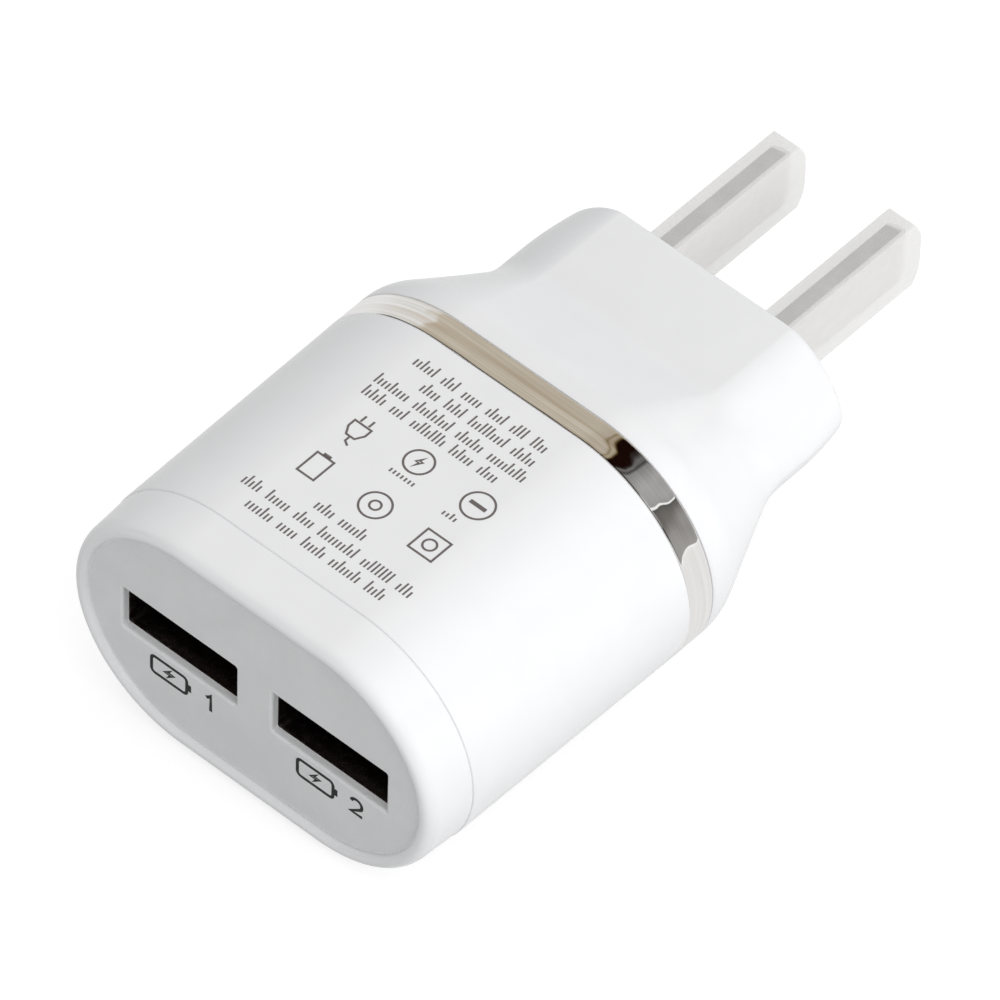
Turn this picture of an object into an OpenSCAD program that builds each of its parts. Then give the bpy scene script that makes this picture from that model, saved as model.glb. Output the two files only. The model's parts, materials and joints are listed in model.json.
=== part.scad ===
// Wall charger with two flat blades and two USB-A outlets.
// The origin is the centre of the wall face. +Y points out of that face, along the blades.
// The body runs along -Y to the USB end. +X is the wide direction and +Z is the thin one.
// Names that end in _d are distances from the wall face, measured into the body.

/* [Body] */
// Distance from the wall face to the crest of the front rim
body_d = 55.9; // [55.6:0.1:57]
// Half width at the chrome band, where the body is widest
band_half_w = 20.45; // [20.2:0.05:21]
// Half width at the front seam
seam_half_w = 20.0; // [19.8:0.05:20.2]
// Half height of the body
half_h = 12.5; // [12.4:0.05:13]
// Half length of the flat stretch across the top and bottom
flat_half = 7.6; // [7.2:0.1:8]
// Wall thickness of the shells
wall = 1.8; // [1.6:0.1:2]

/* [Seams] */
// Distance to the seam between the front collar and the main shell
seam_d = 50.9; // [50.4:0.1:51.2]
// Distance to the front edge of the chrome band
band_front_d = 25.1; // [24.8:0.1:25.4]
// Distance to the rear edge of the chrome band
band_rear_d = 22.3; // [22:0.1:22.6]

/* [Neck] */
// Half width of the neck behind the wall face
neck_half_w = 16.05; // [15.8:0.05:16.4]
// Half height of the neck
neck_half_h = 6.65; // [6.6:0.05:7]
// Half length of the flat stretch across the neck
neck_flat = 9.3; // [9:0.1:9.6]
// Exponent of the neck's end curve: 2 is an ellipse, lower values are closer to a wedge
neck_power = 1.55; // [1.5:0.05:2]
// How much narrower each side of the neck is at the wall face
neck_draft = 0.8; // [0:0.1:1]
// Distance at which the flare leaves the neck
flare_start_d = 8.6; // [8:0.1:9.5]
// Distance at which the flare reaches full size
flare_end_d = 21.6; // [21:0.1:22]
// Rounding of the edge round the wall face
face_edge_r = 0.8; // [0.5:0.1:1]

/* [Faceplate] */
// Distance to the faceplate's front surface
faceplate_d = 55.3; // [55:0.1:55.5]
// Thickness of the faceplate
faceplate_t = 0.8; // [0.7:0.1:0.9]
// End radius of the faceplate outline
faceplate_r = 10.7; // [10.5:0.05:10.7]

/* [USB ports] */
// Distance between the centres of the two ports
port_pitch = 16.45; // [16.2:0.05:16.6]
// Height of the port centres above the body's centre plane
port_z = -0.5; // [-0.7:0.1:0.2]
// Width of the opening in the faceplate
port_w = 12.55; // [12.5:0.05:12.7]
// Height of the opening in the faceplate
port_h = 4.8; // [4.6:0.1:5]
// Length of the metal socket shell
socket_len = 10.4; // [10.2:0.1:10.5]

/* [Blades] */
// Distance between the blade centres
blade_pitch = 12.7; // [12.6:0.05:12.8]
// Blade thickness
blade_t = 1.5; // [1.4:0.05:1.6]
// Blade width
blade_w = 6.35; // [6.2:0.05:6.5]
// How far the blades stand out of the wall face
blade_len = 17; // [16:0.1:17.2]

/* [Blade sleeves] */
// Outer thickness of a transit sleeve
sleeve_t = 3.0; // [2.8:0.1:3.1]
// Outer width of a transit sleeve
sleeve_w = 7.6; // [7.4:0.1:7.7]
// Distance from the wall face to the closed tip
sleeve_len = 18.4; // [18.2:0.1:19]
// How far the middle of the tip stands out beyond its corners
sleeve_tip_bulge = 1.3; // [1:0.1:1.3]

/* [Boards] */
// Height of the main board's upper face
board_z = -6.4; // [-6.5:0.1:-6.3]
// Thickness of the main board
board_t = 1.0; // [0.8:0.1:1]
// Half width of the main board
board_half_w = 13.3; // [13:0.1:13.3]

/* [Hidden] */

$fn = 48;
arc_steps = 35;          // steps round each end of a body section
eps = 0.01;              // overshoot of a cut past the face it opens
gap = 0.05;              // clearance between parts that fit together
slip = 0.1;              // clearance round a spigot or a lead

// Shell build-up, as insets from the outer surface
spigot_inset = wall + slip;        // spigots that slide into the main shell
spigot_in_inset = 3.2;             // inner surface of both spigots
band_t = 0.95;                     // thickness of the chrome band
band_seat_inset = band_t + gap;    // seat under the band
collar_spigot_d = 48.4;            // end of the collar's spigot
rear_spigot_d = 28;                // end of the rear housing's spigot
edge_break = 0.15;                 // broken edges along the seams

// Front rim: an outer and an inner quarter round that meet at the crest
rim_start_inset = 0.25;
rim_crest_inset = 1.2;
rim_inner_inset = 1.65;
rim_outer_len = 1.5;
rim_inner_len = rim_inner_inset - rim_crest_inset;
rim_outer_steps = 6;
rim_inner_steps = 3;

// Flare between neck and body
blend_in = 3.2;          // length of the soft start of the flare
blend_out = 2.6;         // length of the soft end of the flare
draft_len = 6;           // length over which the neck narrows towards the wall face
neck_steps = 21;
edge_steps = 4;
end_wall = 2.0;

// Blade seats in the end wall
recess_depth = 0.5;
recess_t = sleeve_t + 0.3;
recess_w = sleeve_w + 0.3;
post_r = 0.9;            // staked posts that hold the blade retainer
post_z = 2.7;
post_end_d = 6.3;
shoulder_half_w = 3.8;
shoulder_d = 4.3;        // inner end of the blade shoulders
tab_half_w = 1.5;
tab_hole_r = 0.6;
tab_d = 7.2;             // inner end of the solder tabs
retainer_t = 1.2;
retainer_half_w = 9.5;
retainer_half_h = 4.2;
blade_bevel = 0.5;

// USB sockets
shell_t = 0.3;
shell_in_w = 12.5;
shell_in_h = 5.1;
shell_w = shell_in_w + 2 * shell_t;
shell_h = shell_in_h + 2 * shell_t;
shell_front_d = 54.4;
usb_board_front_d = shell_front_d - socket_len;
usb_board_t = 1.2;
usb_board_rear_d = usb_board_front_d - usb_board_t;
insulator_block = 2.6;
tongue_w = 11.1;
tongue_t = 1.84;
tongue_top = 1.9;        // top of the tongue above the port centre
tongue_tip_d = 53.0;
contact_xs = [-3.5, -1, 1, 3.5];
contact_t = 0.25;
contact_w = 1.0;
contact_tip_d = 52.4;
tail_w = 0.5;
tail_end_d = 42;

// Boards
board_front_d = 45.5;
board_rear_d = 20.5;
board_low_z = board_z - board_t;
lead_r = 0.3;
hole_r = lead_r + slip;
lead_low_z = board_low_z - 0.9;    // cut end of the leads under the main board
usb_board_half_w = 14.6;
usb_board_top_z = 4.4;
foot_x = 10;                       // feet of the USB board
foot_w = 2;
link_xs = [-3, -1, 1, 3];
link_z = board_z + 1.3;
link_d = 41.4;
link_size = 0.5;
rail_x = 12.4;                     // inner edge of the rails under the main board
rail_t = 1.4;
rail_front_d = 45.5;
rail_rear_d = 30;
sheet_t = 0.2;                     // insulation sheet on the shell's floor
sheet_half_w = 7;
sheet_front_d = 45;
sheet_rear_d = 30;

// Transformer
core_x = -5;
core_d = 34.6;
core_w = 16;
core_t = 5;
core_low_z = -5.6;
core_h = 12;
yoke_t = 2.2;
leg_w = 4.5;
split_z = core_low_z + core_h / 2;
window_low_z = core_low_z + yoke_t;
window_high_z = core_low_z + core_h - yoke_t;
bobbin_wall = 0.8;
flange_t = 0.9;
flange_w = 11.2;
flange_len = 12.2;
pin_rail_w = 15.2;
pin_rail_in = 3.1;
pin_rail_low_z = board_z + 0.2;
pin_row = 5.5;
pin_pitch = 3.6;
pin_r = 0.35;
winding_w = 10.2;
winding_len = 11;
tape_t = 0.3;

// Round capacitors: radius and length of the can
bulk_r = 4;
bulk_len = 11.5;
bulk_x = 8;
bulk_rear_d = 10.4;
bulk_bend_d = 22.7;
bulk_lead_gap = 3.5;
output_pos = [8.5, -37.3];
output_r = 3.9;
output_len = 11.5;
output_lead_gap = 3.5;
filter_pos = [11, -31.1];
filter_r = 2.4;
filter_len = 10.5;
filter_lead_gap = 2;
sleeve_skin = 0.1;

// Other parts on the main board
y_cap_pos = [5.3, -29];
y_cap_r = 3.4;
y_cap_t = 3.2;
y_cap_lead_gap = 5;
snubber_pos = [-4.5, -27];
snubber_r = 2.5;
snubber_t = 2.2;
snubber_lead_gap = 3.8;
choke_pos = [-10.5, -25.8];
choke_r = 2.5;
choke_core_r = 1.2;
choke_h = 5.2;
choke_flange = 0.9;
choke_lift = 0.5;                  // gap between the board and the choke
choke_lead_r = 0.25;
choke_arm_r = 0.2;                 // where a lead leaves the coil
choke_lead_reach = 2.9;            // from the choke's axis to its leads, clear of the flange
choke_lead_turns = [-45, 45];
diode_pos = [10.6, -25.7];
diode_size = [3.4, 4.4, 2.1];
diode_foot_w = 2;
diode_foot_len = 0.6;
diode_foot_h = 1.2;
bridge_pos = [-3.4, -24.7];
bridge_size = [4.4, 3.8, 1.3];
bridge_pitch = 2.5;
bridge_reach = 0.5;
controller_pos = [core_x, -core_d];
controller_size = [3.9, 4.9, 1.4];
controller_leads = 4;
controller_pitch = 1.27;
controller_reach = 1;
opto_pos = [3.6, -34];
opto_size = [4.4, 3.6, 1.9];
opto_pitch = 2.54;
opto_reach = 0.9;
id_chip_half_w = 1.5;
id_chip_t = 1;
id_chip_low_z = -1.6;
id_chip_high_z = 0;
resistor_size = [2, 1.25, 0.5];
chip_capacitor_size = [1.6, 1.25, 0.8];
chip_resistor_pos = [[-10.6, -32], [-10.6, -34.2], [-10.6, -36.4], [9.4, -34], [2.4, -26.6]];
chip_capacitor_pos = [[11.2, -34.8], [8.4, -28.4], [0.6, -37]];

// Wiring in the neck
fuse_x = -0.9;
fuse_r = 1.6;
fuse_front_d = 19.6;
fuse_rear_d = 12;
fuse_bend_d = 22.2;
fuse_cap_len = 1.2;
fuse_lead_end_d = 10.6;  // rear end of the resistor's lead
line_end_d = 10.5;       // front end of the line wire, which meets that lead
shrink_rear_d = 9.9;
shrink_front_d = 11.9;
shrink_t = 0.2;
wire_r = 0.6;
wire_sides = 12;
bend_steps = 4;
bend_reach = 1;          // how far before and after a corner the wires start to turn
turn_d = 8.7;            // where the wires run across, behind the blade tabs
neutral_x = 2.5;
neutral_drop_d = 21.6;

choke_lead_spots = [
    for (t = choke_lead_turns) choke_pos + choke_lead_reach * [cos(t), sin(t)]
];
lead_spots = concat(
    [for (x = [-bulk_x, bulk_x], s = [-1, 1]) [x + s * bulk_lead_gap / 2, -bulk_bend_d]],
    [for (s = [-1, 1]) output_pos + [s * output_lead_gap / 2, 0]],
    [for (s = [-1, 1]) filter_pos + [s * filter_lead_gap / 2, 0]],
    [for (s = [-1, 1]) y_cap_pos + [0, s * y_cap_lead_gap / 2]],
    [for (s = [-1, 1]) snubber_pos + [s * snubber_lead_gap / 2, 0]],
    choke_lead_spots,
    [[fuse_x, -fuse_bend_d]]
);
transformer_spots = [
    for (side = [-1, 1], i = [-1.5 : 1.5]) [core_x + i * pin_pitch, -core_d + side * pin_row]
];

// ---- Body sections ----------------------------------------------------------------

function mix(a, b, t) = a + (b - a) * t;

function clamp01(t) = max(0, min(1, t));

// A ramp from 0 to 1 that starts and ends softly: its slope rises over blend_in,
// stays level, and falls over blend_out.
function ramp(s, len) =
    let (slope = 1 / (len - (blend_in + blend_out) / 2))
    s <= 0 ? 0
    : s < blend_in ? slope * s * s / (2 * blend_in)
    : s < len - blend_out ? slope * (s - blend_in / 2)
    : s < len ? 1 - slope * (len - s) * (len - s) / (2 * blend_out)
    : 1;

function flare(d) = ramp(d - flare_start_d, flare_end_d - flare_start_d);

function neck_w(d) = neck_half_w - neck_draft * pow(clamp01(1 - d / draft_len), 2);

function shell_half_w(d) =
    mix(band_half_w, seam_half_w, clamp01((d - band_front_d) / (seam_d - band_front_d)));

function section_w(d) = mix(neck_w(d), shell_half_w(d), flare(d));

function section_h(d) = mix(neck_half_h, half_h, flare(d));

function section_flat(d) = mix(neck_flat, flat_half, flare(d));

function section_power(d) = mix(neck_power, 2, flare(d));

// One closed section: flat top and bottom, joined by superelliptic ends.
function ring(d, w, h, flat, power) = [
    for (side = [1, -1], i = [0 : arc_steps])
        let (u = side * 90 * (2 * i / arc_steps - 1))
        let (x = flat + (w - flat) * pow(cos(u), 2 / power))
        [side * x, -d, sign(u) * h * pow(abs(sin(u)), 2 / power)]
];

function section(d, inset) =
    ring(d, section_w(d) - inset, section_h(d) - inset, section_flat(d), section_power(d));

// The rear housing's bore follows its outer surface, but never opens wider than its spigot.
function bore(d) = ring(
    d,
    min(section_w(d) - wall, band_half_w - spigot_in_inset),
    min(section_h(d) - wall, half_h - spigot_in_inset),
    section_flat(d),
    section_power(d)
);

// Triangles between one ring of n points and the next.
function side_faces(n, a, b) = [
    for (i = [0 : n - 1])
        let (j = (i + 1) % n)
        each [[a * n + i, a * n + j, b * n + j], [a * n + i, b * n + j, b * n + i]]
];

// A tube whose rings run forwards over the outside and come back along the inside.
module tube(rings) {
    n = len(rings[0]);
    count = len(rings);
    polyhedron(
        points = [for (r = rings) each r],
        faces = [for (k = [0 : count - 1]) each side_faces(n, (k + 1) % count, k)]
    );
}

// A cup whose rings run from its floor, round its rim and over its outside to a closed end.
module cup(rings) {
    n = len(rings[0]);
    count = len(rings);
    polyhedron(
        points = [for (r = rings) each r],
        faces = concat(
            [for (k = [0 : count - 2]) each side_faces(n, k, k + 1)],
            [[for (i = [n - 1 : -1 : 0]) i]],
            [[for (i = [0 : n - 1]) (count - 1) * n + i]]
        )
    );
}

// ---- Small helpers ----------------------------------------------------------------

// A box given by its two corners.
module block(low, high) {
    translate(low) cube(high - low);
}

// Runs a 2D shape drawn in X and Z from one distance to another.
module along_y(from_d, to_d) {
    translate([0, -min(from_d, to_d), 0]) rotate([90, 0, 0]) linear_extrude(abs(from_d - to_d)) children();
}

module stadium(half_len, r) {
    square([2 * half_len, 2 * r], center = true);
    for (s = [-1, 1]) translate([s * half_len, 0]) circle(r);
}

module upright(pos, low_z, high_z, r) {
    translate([pos[0], pos[1], low_z]) cylinder(r = r, h = high_z - low_z);
}

// A round rod parallel to Y.
module rod_y(x, z, from_d, to_d, r) {
    translate([x, 0, z]) along_y(from_d, to_d) circle(r);
}

// The plane of one ring of a swept wire: it lies square to the run through point k.
function wire_frame(points, k) =
    let (
        last = len(points) - 1,
        run = points[min(k + 1, last)] - points[max(k - 1, 0)],
        side = cross(run, [1, 1, 1]),
        u = side / norm(side),
        v = cross(run, u) / norm(run)
    )
    [u, v];

// A round wire swept through a list of points, as one closed solid.
module swept_wire(points, r) {
    cup([
        for (k = [0 : len(points) - 1])
            let (plane = wire_frame(points, k))
            [
                for (i = [0 : wire_sides - 1])
                    let (turn = 360 * i / wire_sides)
                    points[k] + r * (sin(turn) * plane[0] + cos(turn) * plane[1])
            ]
    ]);
}

// Rounds each inner corner of a route with an arc of short steps.
function rounded_route(points, reach) = concat(
    [points[0]],
    [
        for (k = [1 : len(points) - 2], i = [0 : bend_steps])
            let (
                before = points[k - 1] - points[k],
                after = points[k + 1] - points[k],
                a = points[k] + before * reach / norm(before),
                b = points[k] + after * reach / norm(after),
                t = i / bend_steps
            )
            mix(mix(a, points[k], t), mix(points[k], b, t), t)
    ],
    [points[len(points) - 1]]
);

// A lead that leaves along -Y, turns down and ends under the main board.
module bent_lead(x, z, from_d, bend_d) {
    rod_y(x, z, from_d, bend_d, lead_r);
    translate([x, -bend_d, z]) sphere(lead_r);
    upright([x, -bend_d], lead_low_z, z, lead_r);
}

// ---- Casing -----------------------------------------------------------------------

module front_collar() {
    outer_start_d = body_d - rim_outer_len;
    profile = concat(
        [[seam_d, edge_break], [seam_d + edge_break, edge_break / 2], [outer_start_d, rim_start_inset]],
        [
            for (k = [1 : rim_outer_steps])
                let (t = 90 * k / rim_outer_steps)
                [
                    outer_start_d + rim_outer_len * sin(t),
                    rim_crest_inset - (rim_crest_inset - rim_start_inset) * cos(t)
                ]
        ],
        [
            for (k = [1 : rim_inner_steps])
                let (t = 90 * k / rim_inner_steps)
                [body_d - rim_inner_len * (1 - cos(t)), rim_crest_inset + rim_inner_len * sin(t)]
        ],
        [
            [faceplate_d - faceplate_t, rim_inner_inset],
            [faceplate_d - faceplate_t, spigot_in_inset],
            [collar_spigot_d, spigot_in_inset],
            [collar_spigot_d, spigot_inset + edge_break],
            [seam_d, spigot_inset + edge_break]
        ]
    );
    color("white") tube([for (p = profile) section(p[0], p[1])]);
}

module faceplate() {
    color("lightgray") along_y(faceplate_d, faceplate_d - faceplate_t) difference() {
        stadium(flat_half, faceplate_r);
        for (s = [-1, 1]) translate([s * port_pitch / 2, port_z]) square([port_w, port_h], center = true);
    }
}

module main_shell() {
    profile = [
        [band_front_d, wall],
        [band_front_d, edge_break],
        [band_front_d + edge_break, 0],
        [seam_d - edge_break, 0],
        [seam_d, edge_break],
        [seam_d, wall]
    ];
    color("white") {
        tube([for (p = profile) section(p[0], p[1])]);
        for (s = [-1, 1]) main_board_rail(s);
    }
}

// A ledge inside the main shell that carries one edge of the main board.
module main_board_rail(side) {
    mid_z = board_low_z - gap - rail_t / 2;
    rail_reach = flat_half + sqrt(pow(half_h - wall / 2, 2) - pow(mid_z, 2));
    mirror([side < 0 ? 1 : 0, 0, 0])
        block(
            [rail_x, -rail_front_d, board_low_z - gap - rail_t],
            [rail_reach, -rail_rear_d, board_low_z - gap]
        );
}

module chrome_band() {
    profile = [
        [band_rear_d, band_t],
        [band_rear_d, edge_break],
        [band_rear_d + edge_break, 0],
        [band_front_d - edge_break, 0],
        [band_front_d, edge_break],
        [band_front_d, band_t]
    ];
    color("silver") tube([for (p = profile) section(p[0], p[1])]);
}

module rear_housing() {
    inner = [for (k = [0 : 10]) bore(mix(end_wall, band_rear_d, k / 10))];
    spigot = [
        bore(rear_spigot_d),
        section(rear_spigot_d, spigot_inset),
        section(band_front_d, spigot_inset),
        section(band_front_d, band_seat_inset),
        section(band_rear_d, band_seat_inset)
    ];
    outer = [for (k = [0 : neck_steps]) section(mix(band_rear_d, face_edge_r, k / neck_steps), 0)];
    edge = [
        for (k = [1 : edge_steps])
            let (t = 90 * k / edge_steps)
            section(face_edge_r * (1 - sin(t)), face_edge_r * (1 - cos(t)))
    ];
    color("white") difference() {
        union() {
            cup(concat(inner, spigot, outer, edge));
            for (s = [-1, 1]) rod_y(0, s * post_z, end_wall - eps, post_end_d, post_r);
        }
        for (s = [-1, 1]) translate([s * blade_pitch / 2, 0, 0]) blade_seat();
    }
}

// The slot for one blade, and the shallow recess that its transit sleeve stands in.
module blade_seat() {
    block(
        [-recess_t / 2, -recess_depth, -recess_w / 2],
        [recess_t / 2, 1, recess_w / 2]
    );
    block(
        [-blade_t / 2 - gap, -end_wall - 1, -blade_w / 2 - gap],
        [blade_t / 2 + gap, 1, blade_w / 2 + gap]
    );
}

// ---- Blades and sleeves -----------------------------------------------------------

module blade(side) {
    half_w = blade_w / 2;
    half_t = blade_t / 2;
    shoulder_front = -end_wall - gap;
    outline = [
        [-tab_d, -tab_half_w], [-shoulder_d, -tab_half_w],
        [-shoulder_d, -shoulder_half_w], [shoulder_front, -shoulder_half_w],
        [shoulder_front, -half_w], [blade_len - 2 * blade_bevel, -half_w],
        [blade_len, -half_w + 2 * blade_bevel], [blade_len, half_w - 2 * blade_bevel],
        [blade_len - 2 * blade_bevel, half_w], [shoulder_front, half_w],
        [shoulder_front, shoulder_half_w], [-shoulder_d, shoulder_half_w],
        [-shoulder_d, tab_half_w], [-tab_d, tab_half_w]
    ];
    taper = [
        [-half_t, -tab_d], [half_t, -tab_d], [half_t, blade_len - 2 * blade_bevel],
        [half_t - blade_bevel, blade_len], [blade_bevel - half_t, blade_len],
        [-half_t, blade_len - 2 * blade_bevel]
    ];
    translate([side * blade_pitch / 2, 0, 0]) difference() {
        intersection() {
            translate([-half_t, 0, 0]) rotate([90, 0, 90]) linear_extrude(blade_t) polygon(outline);
            translate([0, 0, -sleeve_w]) linear_extrude(2 * sleeve_w) polygon(taper);
        }
        translate([0, -tab_d + tab_half_w, 0]) rotate([0, 90, 0])
            cylinder(r = tab_hole_r, h = 2 * blade_t, center = true);
    }
}

module blade_line() {
    color("lightgoldenrodyellow") blade(-1);
}

module blade_neutral() {
    color("lightgoldenrodyellow") blade(1);
}

module blade_retainer() {
    color("dimgray") along_y(shoulder_d + gap, shoulder_d + gap + retainer_t) difference() {
        square([2 * retainer_half_w, 2 * retainer_half_h], center = true);
        for (s = [-1, 1]) {
            translate([s * blade_pitch / 2, 0])
                square([blade_t + 2 * gap, 2 * (tab_half_w + gap)], center = true);
            translate([0, s * post_z]) circle(post_r + gap);
        }
    }
}

module sleeve(side) {
    mouth_y = slip - recess_depth;
    translate([side * blade_pitch / 2, 0, 0]) difference() {
        translate([-sleeve_t / 2, 0, 0]) rotate([90, 0, 90]) linear_extrude(sleeve_t) sleeve_outline(mouth_y);
        block(
            [-blade_t / 2 - gap, mouth_y - 1, -blade_w / 2 - gap],
            [blade_t / 2 + gap, blade_len + slip, blade_w / 2 + gap]
        );
    }
}

// The wide side of a sleeve: straight edges and a tip that is one shallow arc.
module sleeve_outline(mouth_y) {
    half_w = sleeve_w / 2;
    shoulder_y = sleeve_len - sleeve_tip_bulge;
    tip_r = (pow(half_w, 2) + pow(sleeve_tip_bulge, 2)) / (2 * sleeve_tip_bulge);
    translate([mouth_y, -half_w]) square([shoulder_y - mouth_y, sleeve_w]);
    intersection() {
        translate([shoulder_y - eps, -half_w]) square([sleeve_tip_bulge + 2 * eps, sleeve_w]);
        translate([sleeve_len - tip_r, 0]) circle(tip_r);
    }
}

module sleeve_line() {
    color("gainsboro") sleeve(-1);
}

module sleeve_neutral() {
    color("gainsboro") sleeve(1);
}

// ---- Boards -----------------------------------------------------------------------

module main_board() {
    color("darkgreen") difference() {
        block([-board_half_w, -board_front_d, board_low_z], [board_half_w, -board_rear_d, board_z]);
        for (p = lead_spots) upright(p, board_low_z - 1, board_z + 1, hole_r);
        for (p = transformer_spots) upright(p, board_low_z - 1, board_z + 1, pin_r + slip);
        for (x = link_xs) upright([x, -link_d], board_low_z - 1, board_z + 1, hole_r + gap);
        upright([neutral_x, -neutral_drop_d], board_low_z - 1, board_z + 1, wire_r + slip);
        for (s = [-1, 1])
            block(
                [s * foot_x - foot_w / 2 - slip, -usb_board_front_d - slip, board_low_z - 1],
                [s * foot_x + foot_w / 2 + slip, -usb_board_rear_d + slip, board_z + 1]
            );
    }
}

module usb_board() {
    color("darkgreen") difference() {
        union() {
            block(
                [-usb_board_half_w, -usb_board_front_d, board_z],
                [usb_board_half_w, -usb_board_rear_d, usb_board_top_z]
            );
            for (s = [-1, 1])
                block(
                    [s * foot_x - foot_w / 2, -usb_board_front_d, lead_low_z + slip],
                    [s * foot_x + foot_w / 2, -usb_board_rear_d, board_z]
                );
        }
        for (s = [-1, 1], x = contact_xs)
            rod_y(
                s * port_pitch / 2 + x, contact_mid_z(),
                usb_board_front_d + 1, usb_board_rear_d - 1, hole_r
            );
        for (x = link_xs) rod_y(x, link_z, usb_board_front_d + 1, usb_board_rear_d - 1, hole_r + gap);
    }
}

module board_link_pins() {
    half = link_size / 2;
    color("gold") for (x = link_xs) {
        block(
            [x - half, -usb_board_front_d - half, link_z - half],
            [x + half, -link_d + half, link_z + half]
        );
        block([x - half, -link_d - half, lead_low_z], [x + half, -link_d + half, link_z + half]);
    }
}

module insulation_sheet() {
    floor_z = wall - half_h;
    color("khaki")
        block([-sheet_half_w, -sheet_front_d, floor_z], [sheet_half_w, -sheet_rear_d, floor_z + sheet_t]);
}

// ---- USB sockets ------------------------------------------------------------------

function contact_mid_z() = port_z + tongue_top - tongue_t - contact_t / 2;

module port_at(side) {
    translate([side * port_pitch / 2, 0, port_z]) children();
}

module usb_shell(side) {
    color("silver") port_at(side) difference() {
        along_y(shell_front_d, usb_board_front_d + gap) square([shell_w, shell_h], center = true);
        along_y(shell_front_d + 1, usb_board_front_d - 1) square([shell_in_w, shell_in_h], center = true);
        for (x = [-3, 3], face = [-1, 1]) shell_spring_slot(x, face);
    }
}

// The U-shaped cut that frees one leaf spring in the top or bottom of a shell.
module shell_spring_slot(x, face) {
    slot_half_w = 1.4;
    leaf_half_w = 1.0;
    slot_front_d = 51.9;
    slot_rear_d = 47.9;
    slot_w = slot_half_w - leaf_half_w;
    low_z = face * shell_in_h / 2 - shell_t - slip;
    high_z = face * shell_in_h / 2 + shell_t + slip;
    for (s = [-1, 1])
        block(
            [x + s * (slot_half_w - slot_w / 2) - slot_w / 2, -slot_front_d, low_z],
            [x + s * (slot_half_w - slot_w / 2) + slot_w / 2, -slot_rear_d, high_z]
        );
    block([x - slot_half_w, -slot_front_d, low_z], [x + slot_half_w, -slot_front_d + slot_w, high_z]);
}

module usb_insulator(side) {
    block_half_w = shell_in_w / 2 - slip;
    block_half_h = shell_in_h / 2 - gap;
    block_front_d = usb_board_front_d + insulator_block;
    color("#202024") port_at(side) difference() {
        union() {
            block(
                [-block_half_w, -block_front_d, -block_half_h],
                [block_half_w, -usb_board_front_d - gap, block_half_h]
            );
            block(
                [-tongue_w / 2, -tongue_tip_d, tongue_top - tongue_t],
                [tongue_w / 2, -block_front_d + slip, tongue_top]
            );
        }
        for (x = contact_xs)
            block(
                [x - contact_w / 2 - gap, -block_front_d - 1, tongue_top - tongue_t - contact_t - gap],
                [x + contact_w / 2 + gap, -usb_board_front_d + 1, tongue_top - tongue_t]
            );
    }
}

module usb_contacts(side) {
    top = tongue_top - tongue_t;
    color("gold") port_at(side) for (x = contact_xs) {
        block(
            [x - contact_w / 2, -contact_tip_d, top - contact_t],
            [x + contact_w / 2, -usb_board_front_d - slip, top]
        );
        block(
            [x - tail_w / 2, -usb_board_front_d - slip, top - contact_t],
            [x + tail_w / 2, -tail_end_d, top]
        );
    }
}

module usb_shell_1() { usb_shell(-1); }
module usb_shell_2() { usb_shell(1); }
module usb_insulator_1() { usb_insulator(-1); }
module usb_insulator_2() { usb_insulator(1); }
module usb_contacts_1() { usb_contacts(-1); }
module usb_contacts_2() { usb_contacts(1); }

// ---- Transformer ------------------------------------------------------------------

// A box centred on the transformer's axis.
module centred_block(w, l, low_z, high_z) {
    translate([core_x - w / 2, -core_d - l / 2, low_z]) cube([w, l, high_z - low_z]);
}

// Half of the E core: a yoke, two outer legs and the centre leg.
module core_half(yoke_low_z, yoke_high_z, legs_low_z, legs_high_z) {
    centred_block(core_w, core_t, yoke_low_z, yoke_high_z);
    centred_block(leg_w, core_t, legs_low_z, legs_high_z);
    for (s = [-1, 1])
        translate([s * (core_w - yoke_t) / 2, 0, 0]) centred_block(yoke_t, core_t, legs_low_z, legs_high_z);
}

module transformer_core_lower() {
    color("#3a3a3d") core_half(core_low_z, window_low_z, core_low_z, split_z - gap / 2);
}

module transformer_core_upper() {
    color("#3a3a3d") core_half(window_high_z, core_low_z + core_h, split_z + gap / 2, core_low_z + core_h);
}

module transformer_bobbin() {
    tube_w = leg_w + 2 * slip + 2 * bobbin_wall;
    tube_len = core_t + 2 * slip + 2 * bobbin_wall;
    low_z = window_low_z + slip;
    high_z = window_high_z - slip;
    color("#26262a") difference() {
        union() {
            centred_block(tube_w, tube_len, low_z, high_z);
            centred_block(flange_w, flange_len, low_z, low_z + flange_t);
            centred_block(flange_w, flange_len, high_z - flange_t, high_z);
            for (s = [-1, 1]) pin_rail(s, low_z + flange_t);
        }
        centred_block(leg_w + 2 * slip, core_t + 2 * slip, low_z - 1, high_z + 1);
        for (p = transformer_spots) upright(p, pin_rail_low_z - 1, pin_rail_low_z + 1.6, pin_r + gap);
    }
}

module pin_rail(side, high_z) {
    mid = (pin_rail_in + flange_len / 2) / 2;
    translate([0, side * mid, 0])
        centred_block(pin_rail_w, flange_len / 2 - pin_rail_in, pin_rail_low_z, high_z - flange_t / 2);
}

module transformer_pins() {
    color("silver") for (p = transformer_spots) upright(p, lead_low_z, pin_rail_low_z + 1.5, pin_r);
}

// A rounded ring round the bobbin's tube, between its flanges.
module coil_layer(outer_w, outer_len, inner_w, inner_len, corner) {
    low_z = window_low_z + slip + flange_t + gap;
    high_z = window_high_z - slip - flange_t - gap;
    translate([core_x, -core_d, low_z]) linear_extrude(high_z - low_z) difference() {
        rounded_rect(outer_w, outer_len, corner);
        rounded_rect(inner_w, inner_len, max(corner - (outer_w - inner_w) / 2, 0.1));
    }
}

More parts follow.
